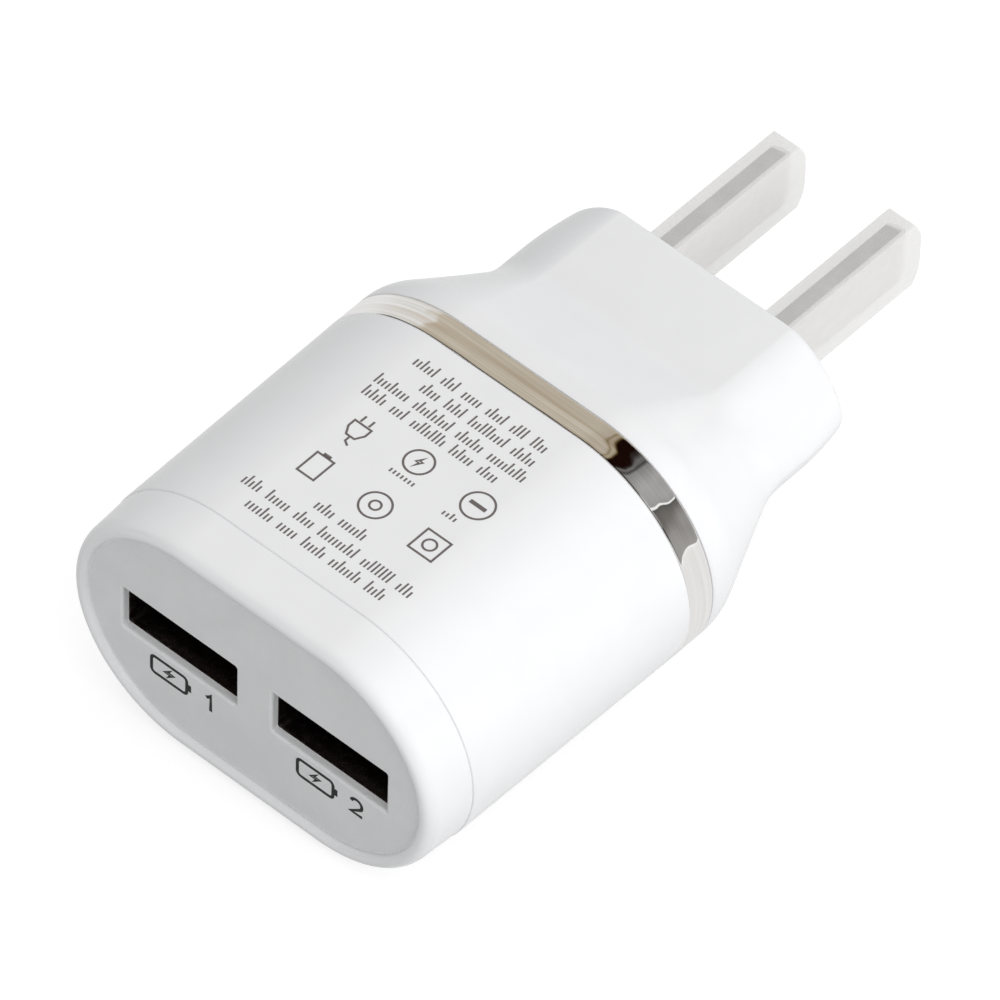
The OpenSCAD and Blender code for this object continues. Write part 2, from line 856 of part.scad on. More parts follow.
module rounded_rect(w, l, corner) {
    square([w - 2 * corner, l], center = true);
    square([w, l - 2 * corner], center = true);
    for (sx = [-1, 1], sy = [-1, 1])
        translate([sx * (w / 2 - corner), sy * (l / 2 - corner)]) circle(corner);
}

module transformer_winding() {
    tube_w = leg_w + 2 * slip + 2 * bobbin_wall + 2 * gap;
    tube_len = core_t + 2 * slip + 2 * bobbin_wall + 2 * gap;
    color("peru") coil_layer(winding_w, winding_len, tube_w, tube_len, 2);
}

module transformer_tape() {
    color("gold") coil_layer(
        winding_w + 2 * tape_t, winding_len + 2 * tape_t,
        winding_w + 2 * gap, winding_len + 2 * gap,
        2 + tape_t
    );
}

// ---- Round capacitors -------------------------------------------------------------

// The can's turned profile: base, crimp groove, wall and a rounded top edge.
module can(r, length) {
    groove = 0.35;
    groove_z = 1.4;
    rotate_extrude() polygon([
        [0, 0], [r - 0.3, 0], [r, 0.3], [r, groove_z - groove], [r - groove, groove_z],
        [r, groove_z + groove], [r, length - 0.4], [r - 0.4, length], [0, length]
    ]);
}

// The printed plastic skin round a can, folded over its top edge.
module can_sleeve(r, length) {
    inner = r + gap / 2;
    outer = inner + sleeve_skin;
    lip = 0.8;
    rotate_extrude() polygon([
        [inner, 0], [outer, 0], [outer, length + sleeve_skin], [r - lip, length + sleeve_skin],
        [r - lip, length + gap / 2], [inner, length + gap / 2]
    ]);
}

// Places a can that lies along Y in the neck, with its base towards the boards.
module lying(x) {
    translate([x, -bulk_rear_d - bulk_len, 0]) rotate([-90, 0, 0]) children();
}

module bulk_capacitor(x) {
    color("silver") {
        lying(x) can(bulk_r, bulk_len);
        for (s = [-1, 1])
            bent_lead(x + s * bulk_lead_gap / 2, 0, bulk_rear_d + bulk_len - 0.2, bulk_bend_d);
    }
}

module bulk_capacitor_1() { bulk_capacitor(-bulk_x); }
module bulk_capacitor_2() { bulk_capacitor(bulk_x); }

module bulk_sleeve_1() {
    color("darkslateblue") lying(-bulk_x) can_sleeve(bulk_r, bulk_len);
}

module bulk_sleeve_2() {
    color("darkslateblue") lying(bulk_x) can_sleeve(bulk_r, bulk_len);
}

// An upright can on the main board, with its two leads.
module standing_capacitor(pos, r, length, lead_gap) {
    color("silver") {
        translate([pos[0], pos[1], board_z + gap]) can(r, length);
        for (s = [-1, 1]) upright(pos + [s * lead_gap / 2, 0], lead_low_z, board_z + 2 * slip, lead_r);
    }
}

module output_capacitor() {
    standing_capacitor(output_pos, output_r, output_len, output_lead_gap);
}

module output_sleeve() {
    color("seagreen")
        translate([output_pos[0], output_pos[1], board_z + gap]) can_sleeve(output_r, output_len);
}

module filter_capacitor() {
    standing_capacitor(filter_pos, filter_r, filter_len, filter_lead_gap);
}

module filter_sleeve() {
    color("seagreen")
        translate([filter_pos[0], filter_pos[1], board_z + gap]) can_sleeve(filter_r, filter_len);
}

// ---- Other parts on the boards ----------------------------------------------------

// A dipped disc capacitor: a turned lens with two leads. turn sets which way it faces.
module disc_capacitor(pos, r, t, lead_gap, turn) {
    mid_z = board_z + r + 0.6;
    translate([pos[0], pos[1], mid_z]) rotate([90, 0, turn]) translate([0, 0, -t / 2])
        rotate_extrude() polygon([[0, 0], [r * 0.8, 0], [r, t * 0.3], [r, t * 0.7], [r * 0.8, t], [0, t]]);
    for (s = [-1, 1])
        upright(
            pos + s * lead_gap / 2 * [cos(turn), sin(turn)],
            lead_low_z,
            mid_z - sqrt(pow(r, 2) - pow(lead_gap / 2, 2)) + lead_r,
            lead_r
        );
}

module y_capacitor() {
    color("royalblue") disc_capacitor(y_cap_pos, y_cap_r, y_cap_t, y_cap_lead_gap, 90);
}

module snubber_capacitor() {
    color("chocolate") disc_capacitor(snubber_pos, snubber_r, snubber_t, snubber_lead_gap, 0);
}

module choke_core() {
    color("#3a3a3d") translate([choke_pos[0], choke_pos[1], board_z + choke_lift]) rotate_extrude() polygon([
        [0, 0], [choke_r, 0], [choke_r, choke_flange], [choke_core_r, choke_flange],
        [choke_core_r, choke_h - choke_flange], [choke_r, choke_h - choke_flange],
        [choke_r, choke_h], [0, choke_h]
    ]);
}

// The coil on the drum core, whose two ends run down outside the lower flange.
module choke_winding() {
    coil_r = choke_r - 0.3;
    low_z = board_z + choke_lift + choke_flange + gap;
    high_z = board_z + choke_lift + choke_h - choke_flange - gap;
    arm_z = low_z + 2 * choke_arm_r;
    arm_start = coil_r - choke_arm_r;
    color("peru") {
        difference() {
            upright(choke_pos, low_z, high_z, coil_r);
            upright(choke_pos, low_z - 1, high_z + 1, choke_core_r + gap);
        }
        for (p = choke_lead_spots) upright(p, lead_low_z, arm_z + 1.5 * choke_arm_r, choke_lead_r);
        for (t = choke_lead_turns)
            translate([choke_pos[0], choke_pos[1], arm_z]) rotate([0, 90, t])
                translate([0, 0, arm_start]) cylinder(r = choke_arm_r, h = choke_lead_reach - arm_start);
    }
}

// A moulded chip on the underside of the main board, with a row of leads on each side.
module underside_chip(pos, size, leads, pitch, reach) {
    foot_t = 0.2;
    foot_len = 0.35;
    translate([pos[0], pos[1], board_low_z]) {
        translate([-size[0] / 2, -size[1] / 2, -size[2] - slip]) cube(size);
        for (s = [-1, 1], i = [0 : leads - 1])
            translate([s * (size[0] / 2 + reach / 2), (i - (leads - 1) / 2) * pitch, 0])
                translate([-reach / 2 - slip, -foot_len / 2, -foot_t - slip])
                    cube([reach + 2 * slip, foot_len, foot_t + slip]);
    }
}

module bridge_rectifier() {
    color("#26262a") underside_chip(bridge_pos, bridge_size, 2, bridge_pitch, bridge_reach);
}

module controller_chip() {
    color("#26262a") underside_chip(
        controller_pos, controller_size, controller_leads, controller_pitch, controller_reach
    );
}

module optocoupler() {
    color("#26262a") underside_chip(opto_pos, opto_size, 2, opto_pitch, opto_reach);
}

module output_diode() {
    color("#26262a") translate([diode_pos[0], diode_pos[1], board_z]) {
        translate([-diode_size[0] / 2, -diode_size[1] / 2, slip]) cube(diode_size);
        for (s = [-1, 1])
            translate([-diode_foot_w / 2, s * diode_size[1] / 2 - diode_foot_len / 2, 0])
                cube([diode_foot_w, diode_foot_len, diode_foot_h]);
    }
}

module charge_id_chip() {
    rear_y = slip - usb_board_rear_d;
    color("#26262a")
        block([-id_chip_half_w, rear_y, id_chip_low_z], [id_chip_half_w, rear_y + id_chip_t, id_chip_high_z]);
}

module chip_row(spots, size) {
    for (p = spots)
        translate([p[0] - size[0] / 2, p[1] - size[1] / 2, board_low_z - size[2]]) cube(size);
}

module chip_resistors() {
    color("#26262a") chip_row(chip_resistor_pos, resistor_size);
}

module chip_capacitors() {
    color("tan") chip_row(chip_capacitor_pos, chip_capacitor_size);
}

// ---- Mains wiring -----------------------------------------------------------------

module fusible_resistor() {
    end_r = fuse_r + 0.15;
    color("mediumseagreen") {
        rod_y(fuse_x, 0, fuse_rear_d, fuse_front_d, fuse_r);
        rod_y(fuse_x, 0, fuse_rear_d, fuse_rear_d + fuse_cap_len, end_r);
        rod_y(fuse_x, 0, fuse_front_d, fuse_front_d - fuse_cap_len, end_r);
        rod_y(fuse_x, 0, fuse_rear_d + eps, fuse_lead_end_d, lead_r);
        bent_lead(fuse_x, 0, fuse_front_d - eps, fuse_bend_d);
    }
}

// The sleeve over the joint between the line wire and the fusible resistor's lead.
module heat_shrink() {
    color("#303034") along_y(shrink_rear_d, shrink_front_d) translate([fuse_x, 0]) difference() {
        circle(wire_r + gap + shrink_t);
        circle(wire_r + gap);
    }
}

module line_wire() {
    tab_x = -blade_pitch / 2;
    route = [[tab_x, -tab_d - gap, 0], [tab_x, -turn_d, 0], [fuse_x, -turn_d, 0], [fuse_x, -line_end_d, 0]];
    color("firebrick") swept_wire(rounded_route(route, bend_reach), wire_r);
}

module neutral_wire() {
    tab_x = blade_pitch / 2;
    route = [
        [tab_x, -tab_d - gap, 0], [tab_x, -turn_d, 0], [neutral_x, -turn_d, 0],
        [neutral_x, -neutral_drop_d, 0], [neutral_x, -neutral_drop_d, lead_low_z]
    ];
    color("navy") swept_wire(rounded_route(route, bend_reach), wire_r);
}

front_collar();
faceplate();
main_shell();
chrome_band();
rear_housing();
blade_line();
blade_neutral();
blade_retainer();
sleeve_line();
sleeve_neutral();
main_board();
usb_board();
board_link_pins();
insulation_sheet();
usb_shell_1();
usb_shell_2();
usb_insulator_1();
usb_insulator_2();
usb_contacts_1();
usb_contacts_2();
transformer_core_lower();
transformer_core_upper();
transformer_bobbin();
transformer_winding();
transformer_tape();
transformer_pins();
bulk_capacitor_1();
bulk_capacitor_2();
bulk_sleeve_1();
bulk_sleeve_2();
output_capacitor();
output_sleeve();
filter_capacitor();
filter_sleeve();
y_capacitor();
snubber_capacitor();
choke_core();
choke_winding();
bridge_rectifier();
controller_chip();
optocoupler();
output_diode();
charge_id_chip();
chip_resistors();
chip_capacitors();
fusible_resistor();
heat_shrink();
line_wire();
neutral_wire();
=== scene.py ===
"""Looks of the wall charger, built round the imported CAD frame.

+Y points out of the wall face along the blades, -Y towards the USB end, and +Z is up.
Lengths are in millimetres until a mesh is made, where MM turns them into metres. The camera and
the lamps are placed in metres.
A name that ends in _D is a distance from the wall face into the body.
"""
import json
import math
import random
from functools import partial

import bmesh
import bpy
import numpy as np
from mathutils import Matrix, Vector
from mathutils.geometry import tessellate_polygon


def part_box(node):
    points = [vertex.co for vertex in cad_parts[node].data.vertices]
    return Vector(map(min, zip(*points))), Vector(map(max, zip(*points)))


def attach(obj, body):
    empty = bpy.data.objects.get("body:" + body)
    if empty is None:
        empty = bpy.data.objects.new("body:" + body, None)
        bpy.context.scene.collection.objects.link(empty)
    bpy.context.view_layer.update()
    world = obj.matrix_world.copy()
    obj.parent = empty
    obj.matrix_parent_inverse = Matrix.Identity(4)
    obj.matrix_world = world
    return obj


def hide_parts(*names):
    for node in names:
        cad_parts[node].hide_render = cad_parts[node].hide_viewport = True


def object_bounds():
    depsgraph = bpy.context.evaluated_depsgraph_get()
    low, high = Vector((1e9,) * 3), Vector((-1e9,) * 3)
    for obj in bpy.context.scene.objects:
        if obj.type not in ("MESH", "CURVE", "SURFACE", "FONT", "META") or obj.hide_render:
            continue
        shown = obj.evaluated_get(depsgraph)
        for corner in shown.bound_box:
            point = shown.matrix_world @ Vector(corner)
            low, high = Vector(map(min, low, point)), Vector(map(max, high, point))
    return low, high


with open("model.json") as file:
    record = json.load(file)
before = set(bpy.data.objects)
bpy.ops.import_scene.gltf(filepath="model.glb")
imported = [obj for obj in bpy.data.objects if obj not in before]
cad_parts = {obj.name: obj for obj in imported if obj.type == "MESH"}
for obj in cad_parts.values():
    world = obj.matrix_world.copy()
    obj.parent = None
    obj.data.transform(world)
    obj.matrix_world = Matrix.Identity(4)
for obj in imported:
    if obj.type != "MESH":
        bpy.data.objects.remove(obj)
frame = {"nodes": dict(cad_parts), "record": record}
CAD_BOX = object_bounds()
MM = 0.001
SCENE = bpy.context.scene


def cad_box(node):
    """Lowest and highest corner of a CAD node, in millimetres."""
    low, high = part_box(node)
    return np.array(low) / MM, np.array(high) / MM


# ---- Sizes ----

COLLAR_LOW, COLLAR_HIGH = cad_box("front_collar")
SHELL_LOW = cad_box("main_shell")[0]
BAND_LOW, BAND_HIGH = cad_box("chrome_band")
REAR_LOW = cad_box("rear_housing")[0]
PLATE_LOW, PLATE_HIGH = cad_box("faceplate")
SLEEVE_LOW, SLEEVE_HIGH = cad_box("sleeve_neutral")
BLADE_LOW, BLADE_HIGH = cad_box("blade_neutral")
PORT_LOW, PORT_HIGH = cad_box("usb_shell_2")

BODY_D = -COLLAR_LOW[1]
COLLAR_SPIGOT_D = -COLLAR_HIGH[1]
SEAM_D = -SHELL_LOW[1]
BAND_FRONT_D = -BAND_LOW[1]
BAND_REAR_D = -BAND_HIGH[1]
REAR_SPIGOT_D = -REAR_LOW[1]
BAND_HALF_W = BAND_HIGH[0]
SHELL_TAPER = 0.45
SEAM_HALF_W = BAND_HALF_W - SHELL_TAPER
HALF_H = BAND_HIGH[2]
PLATE_D = -PLATE_LOW[1]
PLATE_BACK_D = -PLATE_HIGH[1]
PLATE_R = PLATE_HIGH[2]
FLAT_HALF = PLATE_HIGH[0] - PLATE_R

# Neck and flare of the rear housing
NECK_HALF_W = 16.05
NECK_HALF_H = 6.65
NECK_FLAT = 9.3
NECK_POWER = 1.55
NECK_DRAFT = 0.8
DRAFT_LEN = 6.0
FLARE_START_D = 8.6
FLARE_END_D = 21.6
BLEND_IN = 3.2
BLEND_OUT = 2.6
FACE_EDGE_R = 0.8
END_WALL = 2.0

# Posts behind the wall face that hold the blade retainer
POST_Z = 2.7
POST_R = 0.9
POST_END_D = 6.3
POST_CHAMFER = 0.2
POST_ROOT = 0.5

# Walls, seams and spigots, as insets from the outer surface
WALL = 1.8
SPIGOT_INSET = 1.9
SPIGOT_IN_INSET = 3.2
BAND_T = 0.95
BAND_SEAT_INSET = 1.0
EDGE_BREAK = 0.15
BAND_EDGE_R = 0.2
RIM_START_INSET = 0.25
RIM_CREST_INSET = 1.2
# The rim's inner lip nearly closes the gap round the faceplate.
RIM_INNER_INSET = 1.75
RIM_OUTER_LEN = 1.5

# Rails inside the main shell that carry the main board
RAIL_X = 12.4
RAIL_T = 1.4
RAIL_GAP = 0.05
RAIL_FRONT_D = 45.5
RAIL_REAR_D = 30.0

# Blades and their transit sleeves
BLADE_X = (BLADE_LOW[0] + BLADE_HIGH[0]) / 2
BLADE_T = BLADE_HIGH[0] - BLADE_LOW[0]
BLADE_W = 6.35
BLADE_LEN = BLADE_HIGH[1]
BLADE_GAP = 0.05
BLADE_EDGE = 0.12
BLADE_BEVEL = 0.5
SHOULDER_W = 7.6
SHOULDER_D = 4.3
TAB_W = 3.0
TAB_D = 7.2
TAB_HOLE_R = 0.6
SLEEVE_T = SLEEVE_HIGH[0] - SLEEVE_LOW[0]
SLEEVE_W = SLEEVE_HIGH[2] - SLEEVE_LOW[2]
SLEEVE_LEN = SLEEVE_HIGH[1]
SLEEVE_MOUTH_Y = SLEEVE_LOW[1]
SLEEVE_TIP_BULGE = 1.3
SLEEVE_CORNER_R = 0.3
TIP_THINNING = 0.35
TIP_HALF_W = 0.6
MOUTH_LIP = 0.1
MOUTH_INSET = 0.05
CAVITY_CORNER_R = 0.2
CAVITY_TAPER_T = 0.5
CAVITY_TAPER_W = 1.6
CAVITY_TAPER_START = 0.8
RECESS_DEPTH = 0.5
RECESS_MARGIN = 0.15
RECESS_CORNER_R = 0.45
SLOT_CORNER_R = 0.1

# USB openings
PORT_X = (PORT_LOW[0] + PORT_HIGH[0]) / 2
PORT_Z = (PORT_LOW[2] + PORT_HIGH[2]) / 2
PORT_W = 12.55
PORT_H = 4.8
PORT_CORNER_R = 0.2
PLATE_EDGE_R = 0.04
OPENING_EDGE_R = 0.28

# USB sockets: the steel shell, its leaf springs, and the moulding with the tongue
SOCKET_T = 0.3
SOCKET_CORNER_R = 0.7
LEAF_X = 3.0
LEAF_W = 2.0
LEAF_T = 0.2
LEAF_WINDOW_W = 2.8
LEAF_FRONT_D = 51.5
LEAF_REAR_D = 47.5
LEAF_RISE = 0.45
LEAF_FREE_GAP = 0.35
LEAF_ROOT_GAP = 0.1
SOCKET_BLOCK_LEN = 2.55
TONGUE_HALF_W = 5.55
TONGUE_LOW_Z = PORT_Z + 0.06
TONGUE_HIGH_Z = PORT_Z + 1.9

# Print
INK_T = 0.015
INK_SINK = 0.03
TICK_PITCH = 0.4
TICK_LINE = 0.17
ROW_HEIGHT = 1.2
SMALL_ROW_HEIGHT = 0.7
ICON_LINE = 0.2
LABEL_LINE = 0.33
LABEL_Z = -4.85
LABEL_X = {1: -9.0, 2: 7.1}

# Places of the pictograms on the body's upper face
PLUG_AT = (-5.8, -36.6)
BOLT_AT = (0.15, -35.85)
BAR_AT = (6.75, -36.05)
BATTERY_AT = (-5.7, -41.8)
RINGS_AT = (0.65, -41.65)
SQUARE_AT = (6.7, -41.8)

# Start, end and place of each row of ticks on the body's upper face
RATING_ROWS = [
    (-7.3, 8.0, -27.8),
    (-5.0, 7.2, -29.55),
    (-8.4, 9.0, -31.3),
    (-8.3, 6.2, -32.9),
    (-2.8, 3.3, -44.65),
    (-9.0, 10.0, -46.55),
    (-7.0, 7.8, -48.3),
]
SMALL_RATING_ROWS = [
    (-1.0, 1.9, -37.85),
    (5.2, 8.2, -38.35),
]

# Points along each end of a section, and the angle from which an edge is drawn sharp
END_STEPS = 96
SHARP = 32

# How far a cutting shape reaches past the surface that it cuts
CUT_PAST = 1
# Width of the flat ring that keeps a face's shading flat up to its rounded edge
FLAT_RIM = 0.05


# ---- Body sections ----


def mix(a, b, t):
    return a + (b - a) * t


def clamp01(t):
    return max(0.0, min(1.0, t))


def ramp(s, length):
    """A ramp from 0 to 1 with a soft start of BLEND_IN and a soft end of BLEND_OUT."""
    slope = 1 / (length - (BLEND_IN + BLEND_OUT) / 2)
    if s <= 0:
        return 0.0
    if s < BLEND_IN:
        return slope * s * s / (2 * BLEND_IN)
    if s < length - BLEND_OUT:
        return slope * (s - BLEND_IN / 2)
    if s < length:
        return 1 - slope * (length - s) ** 2 / (2 * BLEND_OUT)
    return 1.0


def flare(d):
    return ramp(d - FLARE_START_D, FLARE_END_D - FLARE_START_D)


def neck_half_w(d):
    return NECK_HALF_W - NECK_DRAFT * clamp01(1 - d / DRAFT_LEN) ** 2


def shell_half_w(d):
    return mix(BAND_HALF_W, SEAM_HALF_W, clamp01((d - BAND_FRONT_D) / (SEAM_D - BAND_FRONT_D)))


def section_half_w(d):
    return mix(neck_half_w(d), shell_half_w(d), flare(d))


def section_half_h(d):
    return mix(NECK_HALF_H, HALF_H, flare(d))


def ring(d, half_w, half_h):
    """One closed section across Y: flat top and bottom, joined by superelliptic ends."""
    flat = mix(NECK_FLAT, FLAT_HALF, flare(d))
    power = 2 / mix(NECK_POWER, 2, flare(d))
    points = []
    for side in (1, -1):
        for k in range(END_STEPS + 1):
            u = side * math.pi / 2 * (2 * k / END_STEPS - 1)
            x = flat + (half_w - flat) * abs(math.cos(u)) ** power
            z = math.copysign(half_h * abs(math.sin(u)) ** power, u)
            points.append((side * x, -d, z))
    return np.array(points)


def section(d, inset=0.0):
    return ring(d, section_half_w(d) - inset, section_half_h(d) - inset)


def bore(d):
    """The rear housing's inner section, never wider than its spigot."""
    return ring(
        d,
        min(section_half_w(d) - WALL, BAND_HALF_W - SPIGOT_IN_INSET),
        min(section_half_h(d) - WALL, HALF_H - SPIGOT_IN_INSET),
    )


# ---- Mesh helpers ----


def loft(rings, capped):
    """A skin through rings of points: capped at both ends, or joined from the last to the first."""
    n = len(rings[0])
    count = len(rings)
    faces = []
    for a in range(count - 1 if capped else count):
        b = (a + 1) % count
        faces += [(a * n + i, a * n + (i + 1) % n, b * n + (i + 1) % n, b * n + i) for i in range(n)]
    if capped:
        faces.append(tuple(range(n - 1, -1, -1)))
        faces.append(tuple(range((count - 1) * n, count * n)))
    return np.concatenate([np.array(r, float) for r in rings]), faces


def joined(parts):
    """Several skins as one, still as separate shells."""
    verts, faces, start = [], [], 0
    for part_verts, part_faces in parts:
        verts.append(part_verts)
        faces += [tuple(start + i for i in face) for face in part_faces]
        start += len(part_verts)
    return np.concatenate(verts), faces


def arc(centre, radius, start, end, steps):
    """Points along an arc in two dimensions, with angles in degrees."""
    turns = [math.radians(mix(start, end, k / steps)) for k in range(steps + 1)]
    return [(centre[0] + radius * math.cos(t), centre[1] + radius * math.sin(t)) for t in turns]


def rounded_rect(w, h, r, steps=6):
    corners = [(1, 1, 0), (-1, 1, 90), (-1, -1, 180), (1, -1, 270)]
    points = []
    for sx, sy, turn in corners:
        points += arc((sx * (w / 2 - r), sy * (h / 2 - r)), r, turn, turn + 90, steps)
    return points


def circle(centre, radius, steps=32):
    return arc(centre, radius, 0, 360 * (steps - 1) / steps, steps - 1)


def stadium(half_len, r):
    steps = 64
    return arc((half_len, 0), r, -90, 90, steps) + arc((-half_len, 0), r, 90, 270, steps)


def shifted(points, x, y):
    return [(x + p[0], y + p[1]) for p in points]


def across_y(points, y, x=0.0, z=0.0):
    """A flat outline in X and Z, placed at y."""
    return np.array([(x + p[0], y, z + p[1]) for p in points])


def block(low, high, edge=0.1):
    """A box with rounded long edges along Y and broken ends."""
    w, h = high[0] - low[0], high[2] - low[2]
    x, z = (low[0] + high[0]) / 2, (low[2] + high[2]) / 2
    rings = []
    for y, inset in ((low[1], edge), (low[1] + edge, 0), (high[1] - edge, 0), (high[1], edge)):
        outline = rounded_rect(w - 2 * inset, h - 2 * inset, edge, 3)
        rings.append(across_y(outline, y, x, z))
    return loft(rings, capped=True)


def new_mesh(name, skin, look, sharp=SHARP):
    """A mesh in metres from a skin in millimetres, with outward normals and smooth shading."""
    verts, faces = skin
    mesh = bpy.data.meshes.new(name)
    mesh.from_pydata((np.array(verts) * MM).tolist(), [], faces)
    work = bmesh.new()
    work.from_mesh(mesh)
    bmesh.ops.remove_doubles(work, verts=work.verts, dist=1e-4 * MM)
    bmesh.ops.recalc_face_normals(work, faces=work.faces)
    work.to_mesh(mesh)
    work.free()
    mesh.shade_smooth()
    mesh.set_sharp_from_angle(angle=math.radians(sharp))
    mesh.materials.append(look)
    return mesh


def add_object(name, mesh):
    obj = bpy.data.objects.new(name, mesh)
    SCENE.collection.objects.link(obj)
    return obj


def add_piece(name, skin, slot=None, look=None, body="charger", stands_for=None, sharp=SHARP):
    """A new piece that rides on a body. It has its slot's look unless it is given another."""
    obj = add_object(name, new_mesh(name, skin, look or LOOKS[slot], sharp))
    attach(obj, body)
    if stands_for:
        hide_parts(stands_for)
    return obj


def cut(obj, skin):
    """Takes a closed skin out of an object's mesh."""
    cutter = add_object("cutter", new_mesh("cutter", skin, obj.data.materials[0]))
    step = obj.modifiers.new("cut", "BOOLEAN")
    step.operation = "DIFFERENCE"
    step.solver = "EXACT"
    step.object = cutter
    shape = obj.evaluated_get(bpy.context.evaluated_depsgraph_get())
    mesh = bpy.data.meshes.new_from_object(shape)
    obj.modifiers.clear()
    obj.data = mesh
    mesh.shade_smooth()
    mesh.set_sharp_from_angle(angle=math.radians(SHARP))
    bpy.data.objects.remove(cutter)


# ---- Materials ----


class Tree:
    """A material's node tree with its Principled shader, and short calls for the nodes used here."""

    def __init__(self, name, **sockets):
        self.material = bpy.data.materials.new(name)
        self.material.use_nodes = True
        self.nodes = self.material.node_tree.nodes
        self.links = self.material.node_tree.links
        self.shader = self.nodes["Principled BSDF"]
        for socket, value in sockets.items():
            self.shader.inputs[socket.replace("_", " ")].default_value = value

    def link(self, source, socket):
        self.links.new(source, self.shader.inputs[socket])

    def add(self, kind, inputs=None, **settings):
        """Adds a node, sets its properties, and sets or links its inputs."""
        made = self.nodes.new("ShaderNode" + kind)
        for key, value in settings.items():
            setattr(made, key, value)
        for key, value in (inputs or {}).items():
            self.feed(made.inputs[key], value)
        return made

    def feed(self, socket, value):
        """Links a socket to another one, or sets its value."""
        if isinstance(value, bpy.types.NodeSocket):
            self.links.new(value, socket)
        else:
            socket.default_value = value

    def place(self, stretch=(1, 1, 1)):
        """The object's own coordinates in millimetres, stretched."""
        where = self.add("TexCoord").outputs["Object"]
        scale = tuple(s / MM for s in stretch)
        return self.add("Mapping", {"Vector": where, "Scale": scale}).outputs["Vector"]

    def facing(self, axis):
        """How far the surface faces along one of the object's own axes, from -1 to 1."""
        normal = self.add("TexCoord").outputs["Normal"]
        return self.add("SeparateXYZ", {"Vector": normal}).outputs[axis]

    def noise(self, scale, detail=3, stretch=(1, 1, 1), distortion=0.0):
        inputs = {"Vector": self.place(stretch), "Scale": scale, "Detail": detail, "Distortion": distortion}
        return self.add("TexNoise", inputs).outputs["Fac"]

    def spread(self, value, low, high, start=0.3, end=0.7):
        """Maps a value from start..end to low..high."""
        inputs = {"Value": value, "From Min": start, "From Max": end, "To Min": low, "To Max": high}
        return self.add("MapRange", inputs).outputs["Result"]

    def blend(self, share, a, b):
        """A colour between a and b, each a socket or red, green and blue."""
        colours = [c if isinstance(c, bpy.types.NodeSocket) else (*c, 1) for c in (a, b)]
        node = self.add("Mix", data_type="RGBA")
        for index, value in ((0, share), (6, colours[0]), (7, colours[1])):
            self.feed(node.inputs[index], value)
        return node.outputs[2]

    def math(self, operation, a, b=0.0):
        return self.add("Math", {0: a, 1: b}, operation=operation).outputs[0]

    def dot(self, a, b):
        return self.add("VectorMath", {0: a, 1: b}, operation="DOT_PRODUCT").outputs["Value"]

    def edges(self, radius):
        """From 0 on flat stretches to 1 within a radius, in millimetres, of an edge."""
        rounded = self.add("Bevel", {"Radius": radius * MM}, samples=4).outputs["Normal"]
        plain = self.add("NewGeometry").outputs["Normal"]
        return self.spread(self.dot(rounded, plain), 1, 0, 0.8, 0.99)

    def edge_rubbed_and_highlit(self, colour, rubbed_and_highlight, radius):
        """A colour that turns into another towards the edges: scuffing, and on the faceplate a painted
        highlight.
        """
        return self.blend(self.edges(radius), colour, rubbed_and_highlight)

    def bump(self, height, depth, under=None):
        """Raises the surface by up to depth millimetres where height is 1, over another bump."""
        inputs = {"Height": height, "Distance": depth * MM, "Strength": 1.0}
        if under:
            inputs["Normal"] = under
        return self.add("Bump", inputs).outputs["Normal"]


def finish(name, colours, roughness, grain, depth, wander=0.25, rubbed_and_highlight=None, rubbed_and_highlight_width=0.15, **sockets):
    """A material whose colour and roughness wander, with a fine grain of the given pitch and depth.
    Within the given width of its edges it has the given edge colour, a lighter one unless it is given. That
    colour stands for scuffed edges, and on the faceplate for a painted highlight."""
    tree = Tree(name, **sockets)
    patches = tree.noise(wander)
    colour = tree.blend(tree.spread(patches, 0, 1), *colours)
    rubbed_and_highlight = rubbed_and_highlight or tuple(min(0.95, 1.25 * c + 0.015) for c in colours[1])
    tree.link(tree.edge_rubbed_and_highlit(colour, rubbed_and_highlight, rubbed_and_highlight_width), "Base Color")
    fine = tree.noise(1 / grain, detail=2)
    tree.link(tree.spread(fine, *roughness), "Roughness")
    tree.link(tree.bump(fine, depth), "Normal")
    return tree


def white_plastic():
    """Gloss white moulding."""
    colours = ((0.83, 0.834, 0.846), (0.845, 0.849, 0.859))
    tree = finish("white_plastic", colours, (0.13, 0.19), 0.35, 0.0012, rubbed_and_highlight=(0.87, 0.872, 0.876))
    tree.shader.inputs["IOR"].default_value = 1.5
    return tree.material


def faceplate_plastic():
    """Grey moulding with a fine spark-eroded texture. Its edges turn near white: a painted highlight."""
    colours = ((0.755, 0.762, 0.77), (0.79, 0.797, 0.805))
    # Painted highlight: within 0.45 mm of the plate's edges and openings the colour turns near white.
    rubbed_and_highlight = (0.95, 0.95, 0.95)
    return finish("faceplate_plastic", colours, (0.42, 0.55), 0.14, 0.05, rubbed_and_highlight=rubbed_and_highlight, rubbed_and_highlight_width=0.45).material


